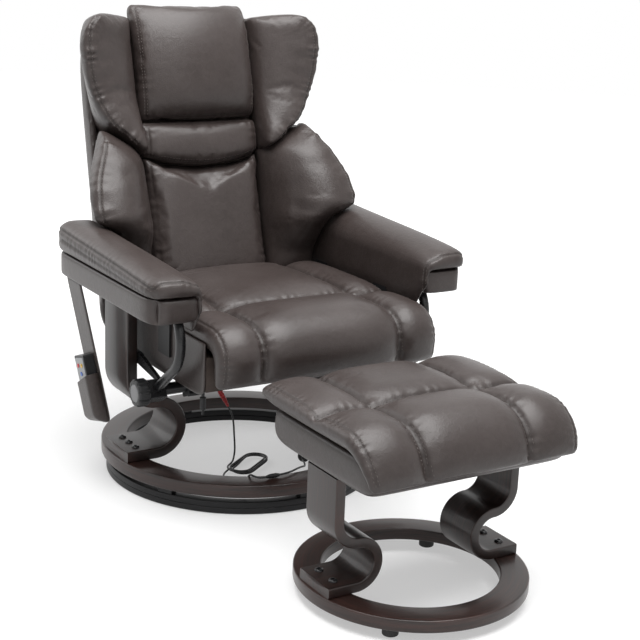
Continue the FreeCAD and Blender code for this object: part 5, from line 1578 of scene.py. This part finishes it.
# %% [markdown]
# ## Floor and light
# The studio is white: a pale floor that keeps the soft shadow under the rings, a white world,
# and three large lamps. Floor and world give more light to the camera and to reflections than
# to the leather, so that the background stays white while the leather keeps its depth.

# %% Studio floor
WHITE, PALE = (1.0, 1.0, 1.0, 1.0), (0.56, 0.56, 0.56, 1.0)
floor_mesh = closed_mesh("studio_floor", [(turned([(0.0, -2.0), (9000.0, -2.0)], count=64), True)])
if read_normals(floor_mesh)[:, 2].mean() < 0:
    floor_mesh.flip_normals()
floor = bpy.data.objects.new("studio_floor", floor_mesh)
scene.collection.objects.link(floor)


def plain_view(paint):
    """One for rays that show the background: camera, glossy and transmitted rays."""
    camera_ray, glossy, through = [
        paint.node("LightPath", out="Is " + kind + " Ray") for kind in ("Camera", "Glossy", "Transmission")
    ]
    return paint.maths("MAXIMUM", camera_ray, paint.maths("MAXIMUM", glossy, through))


floor_finish = bpy.data.materials.new("studio_floor")
floor_finish.use_nodes = True
floor_tree = floor_finish.node_tree
floor_tree.nodes.remove(floor_tree.nodes["Principled BSDF"])
paint = Paint(floor_tree)
far = paint.node("VectorMath", {"operation": "LENGTH"}, {0: paint.place()}, out=1)
widening = {"Value": far, "From Min": 0.9, "From Max": 2.4}
spread = paint.node("MapRange", {"interpolation_type": "SMOOTHSTEP"}, widening)
strength = plain_view(paint) * (0.45 + spread * 0.55)
pale = paint.node("BsdfDiffuse", {}, {"Color": PALE})
glow = paint.node("Emission", {}, {"Color": WHITE, "Strength": strength})
lifted = paint.node("AddShader", {}, {0: pale, 1: glow})
floor_tree.links.new(lifted.socket, floor_tree.nodes["Material Output"].inputs["Surface"])
floor_mesh.materials.append(floor_finish)
print("floor laid")

# %% Studio light
world = bpy.data.worlds.new("white_studio")
world.use_nodes = True
scene.world = world
backdrop = world.node_tree.nodes["Background"]
backdrop.inputs["Color"].default_value = WHITE
brightness = 0.22 + plain_view(Paint(world.node_tree)) * 0.78
world.node_tree.links.new(brightness.socket, backdrop.inputs["Strength"])


def add_lamp(name, place, aim, size, power):
    """A large square lamp at place, turned to face aim."""
    lamp = bpy.data.lights.new(name, "AREA")
    lamp.size = size
    lamp.energy = power
    stand = bpy.data.objects.new(name, lamp)
    stand.location = place
    stand.rotation_euler = (Vector(aim) - Vector(place)).to_track_quat("-Z", "Y").to_euler()
    scene.collection.objects.link(stand)


add_lamp("roof_lamp", (-0.2, -0.8, 3.3), (-0.1, -0.25, 0.4), 3.0, 212.0)
add_lamp("key_lamp", (-0.6, -3.8, 2.4), (0.0, -0.2, 0.5), 2.2, 12.0)
add_lamp("rear_lamp", (-1.9, 2.6, 2.2), (0.0, 0.1, 0.6), 2.2, 28.0)
scene.view_settings.view_transform = "Standard"
print("studio lit")
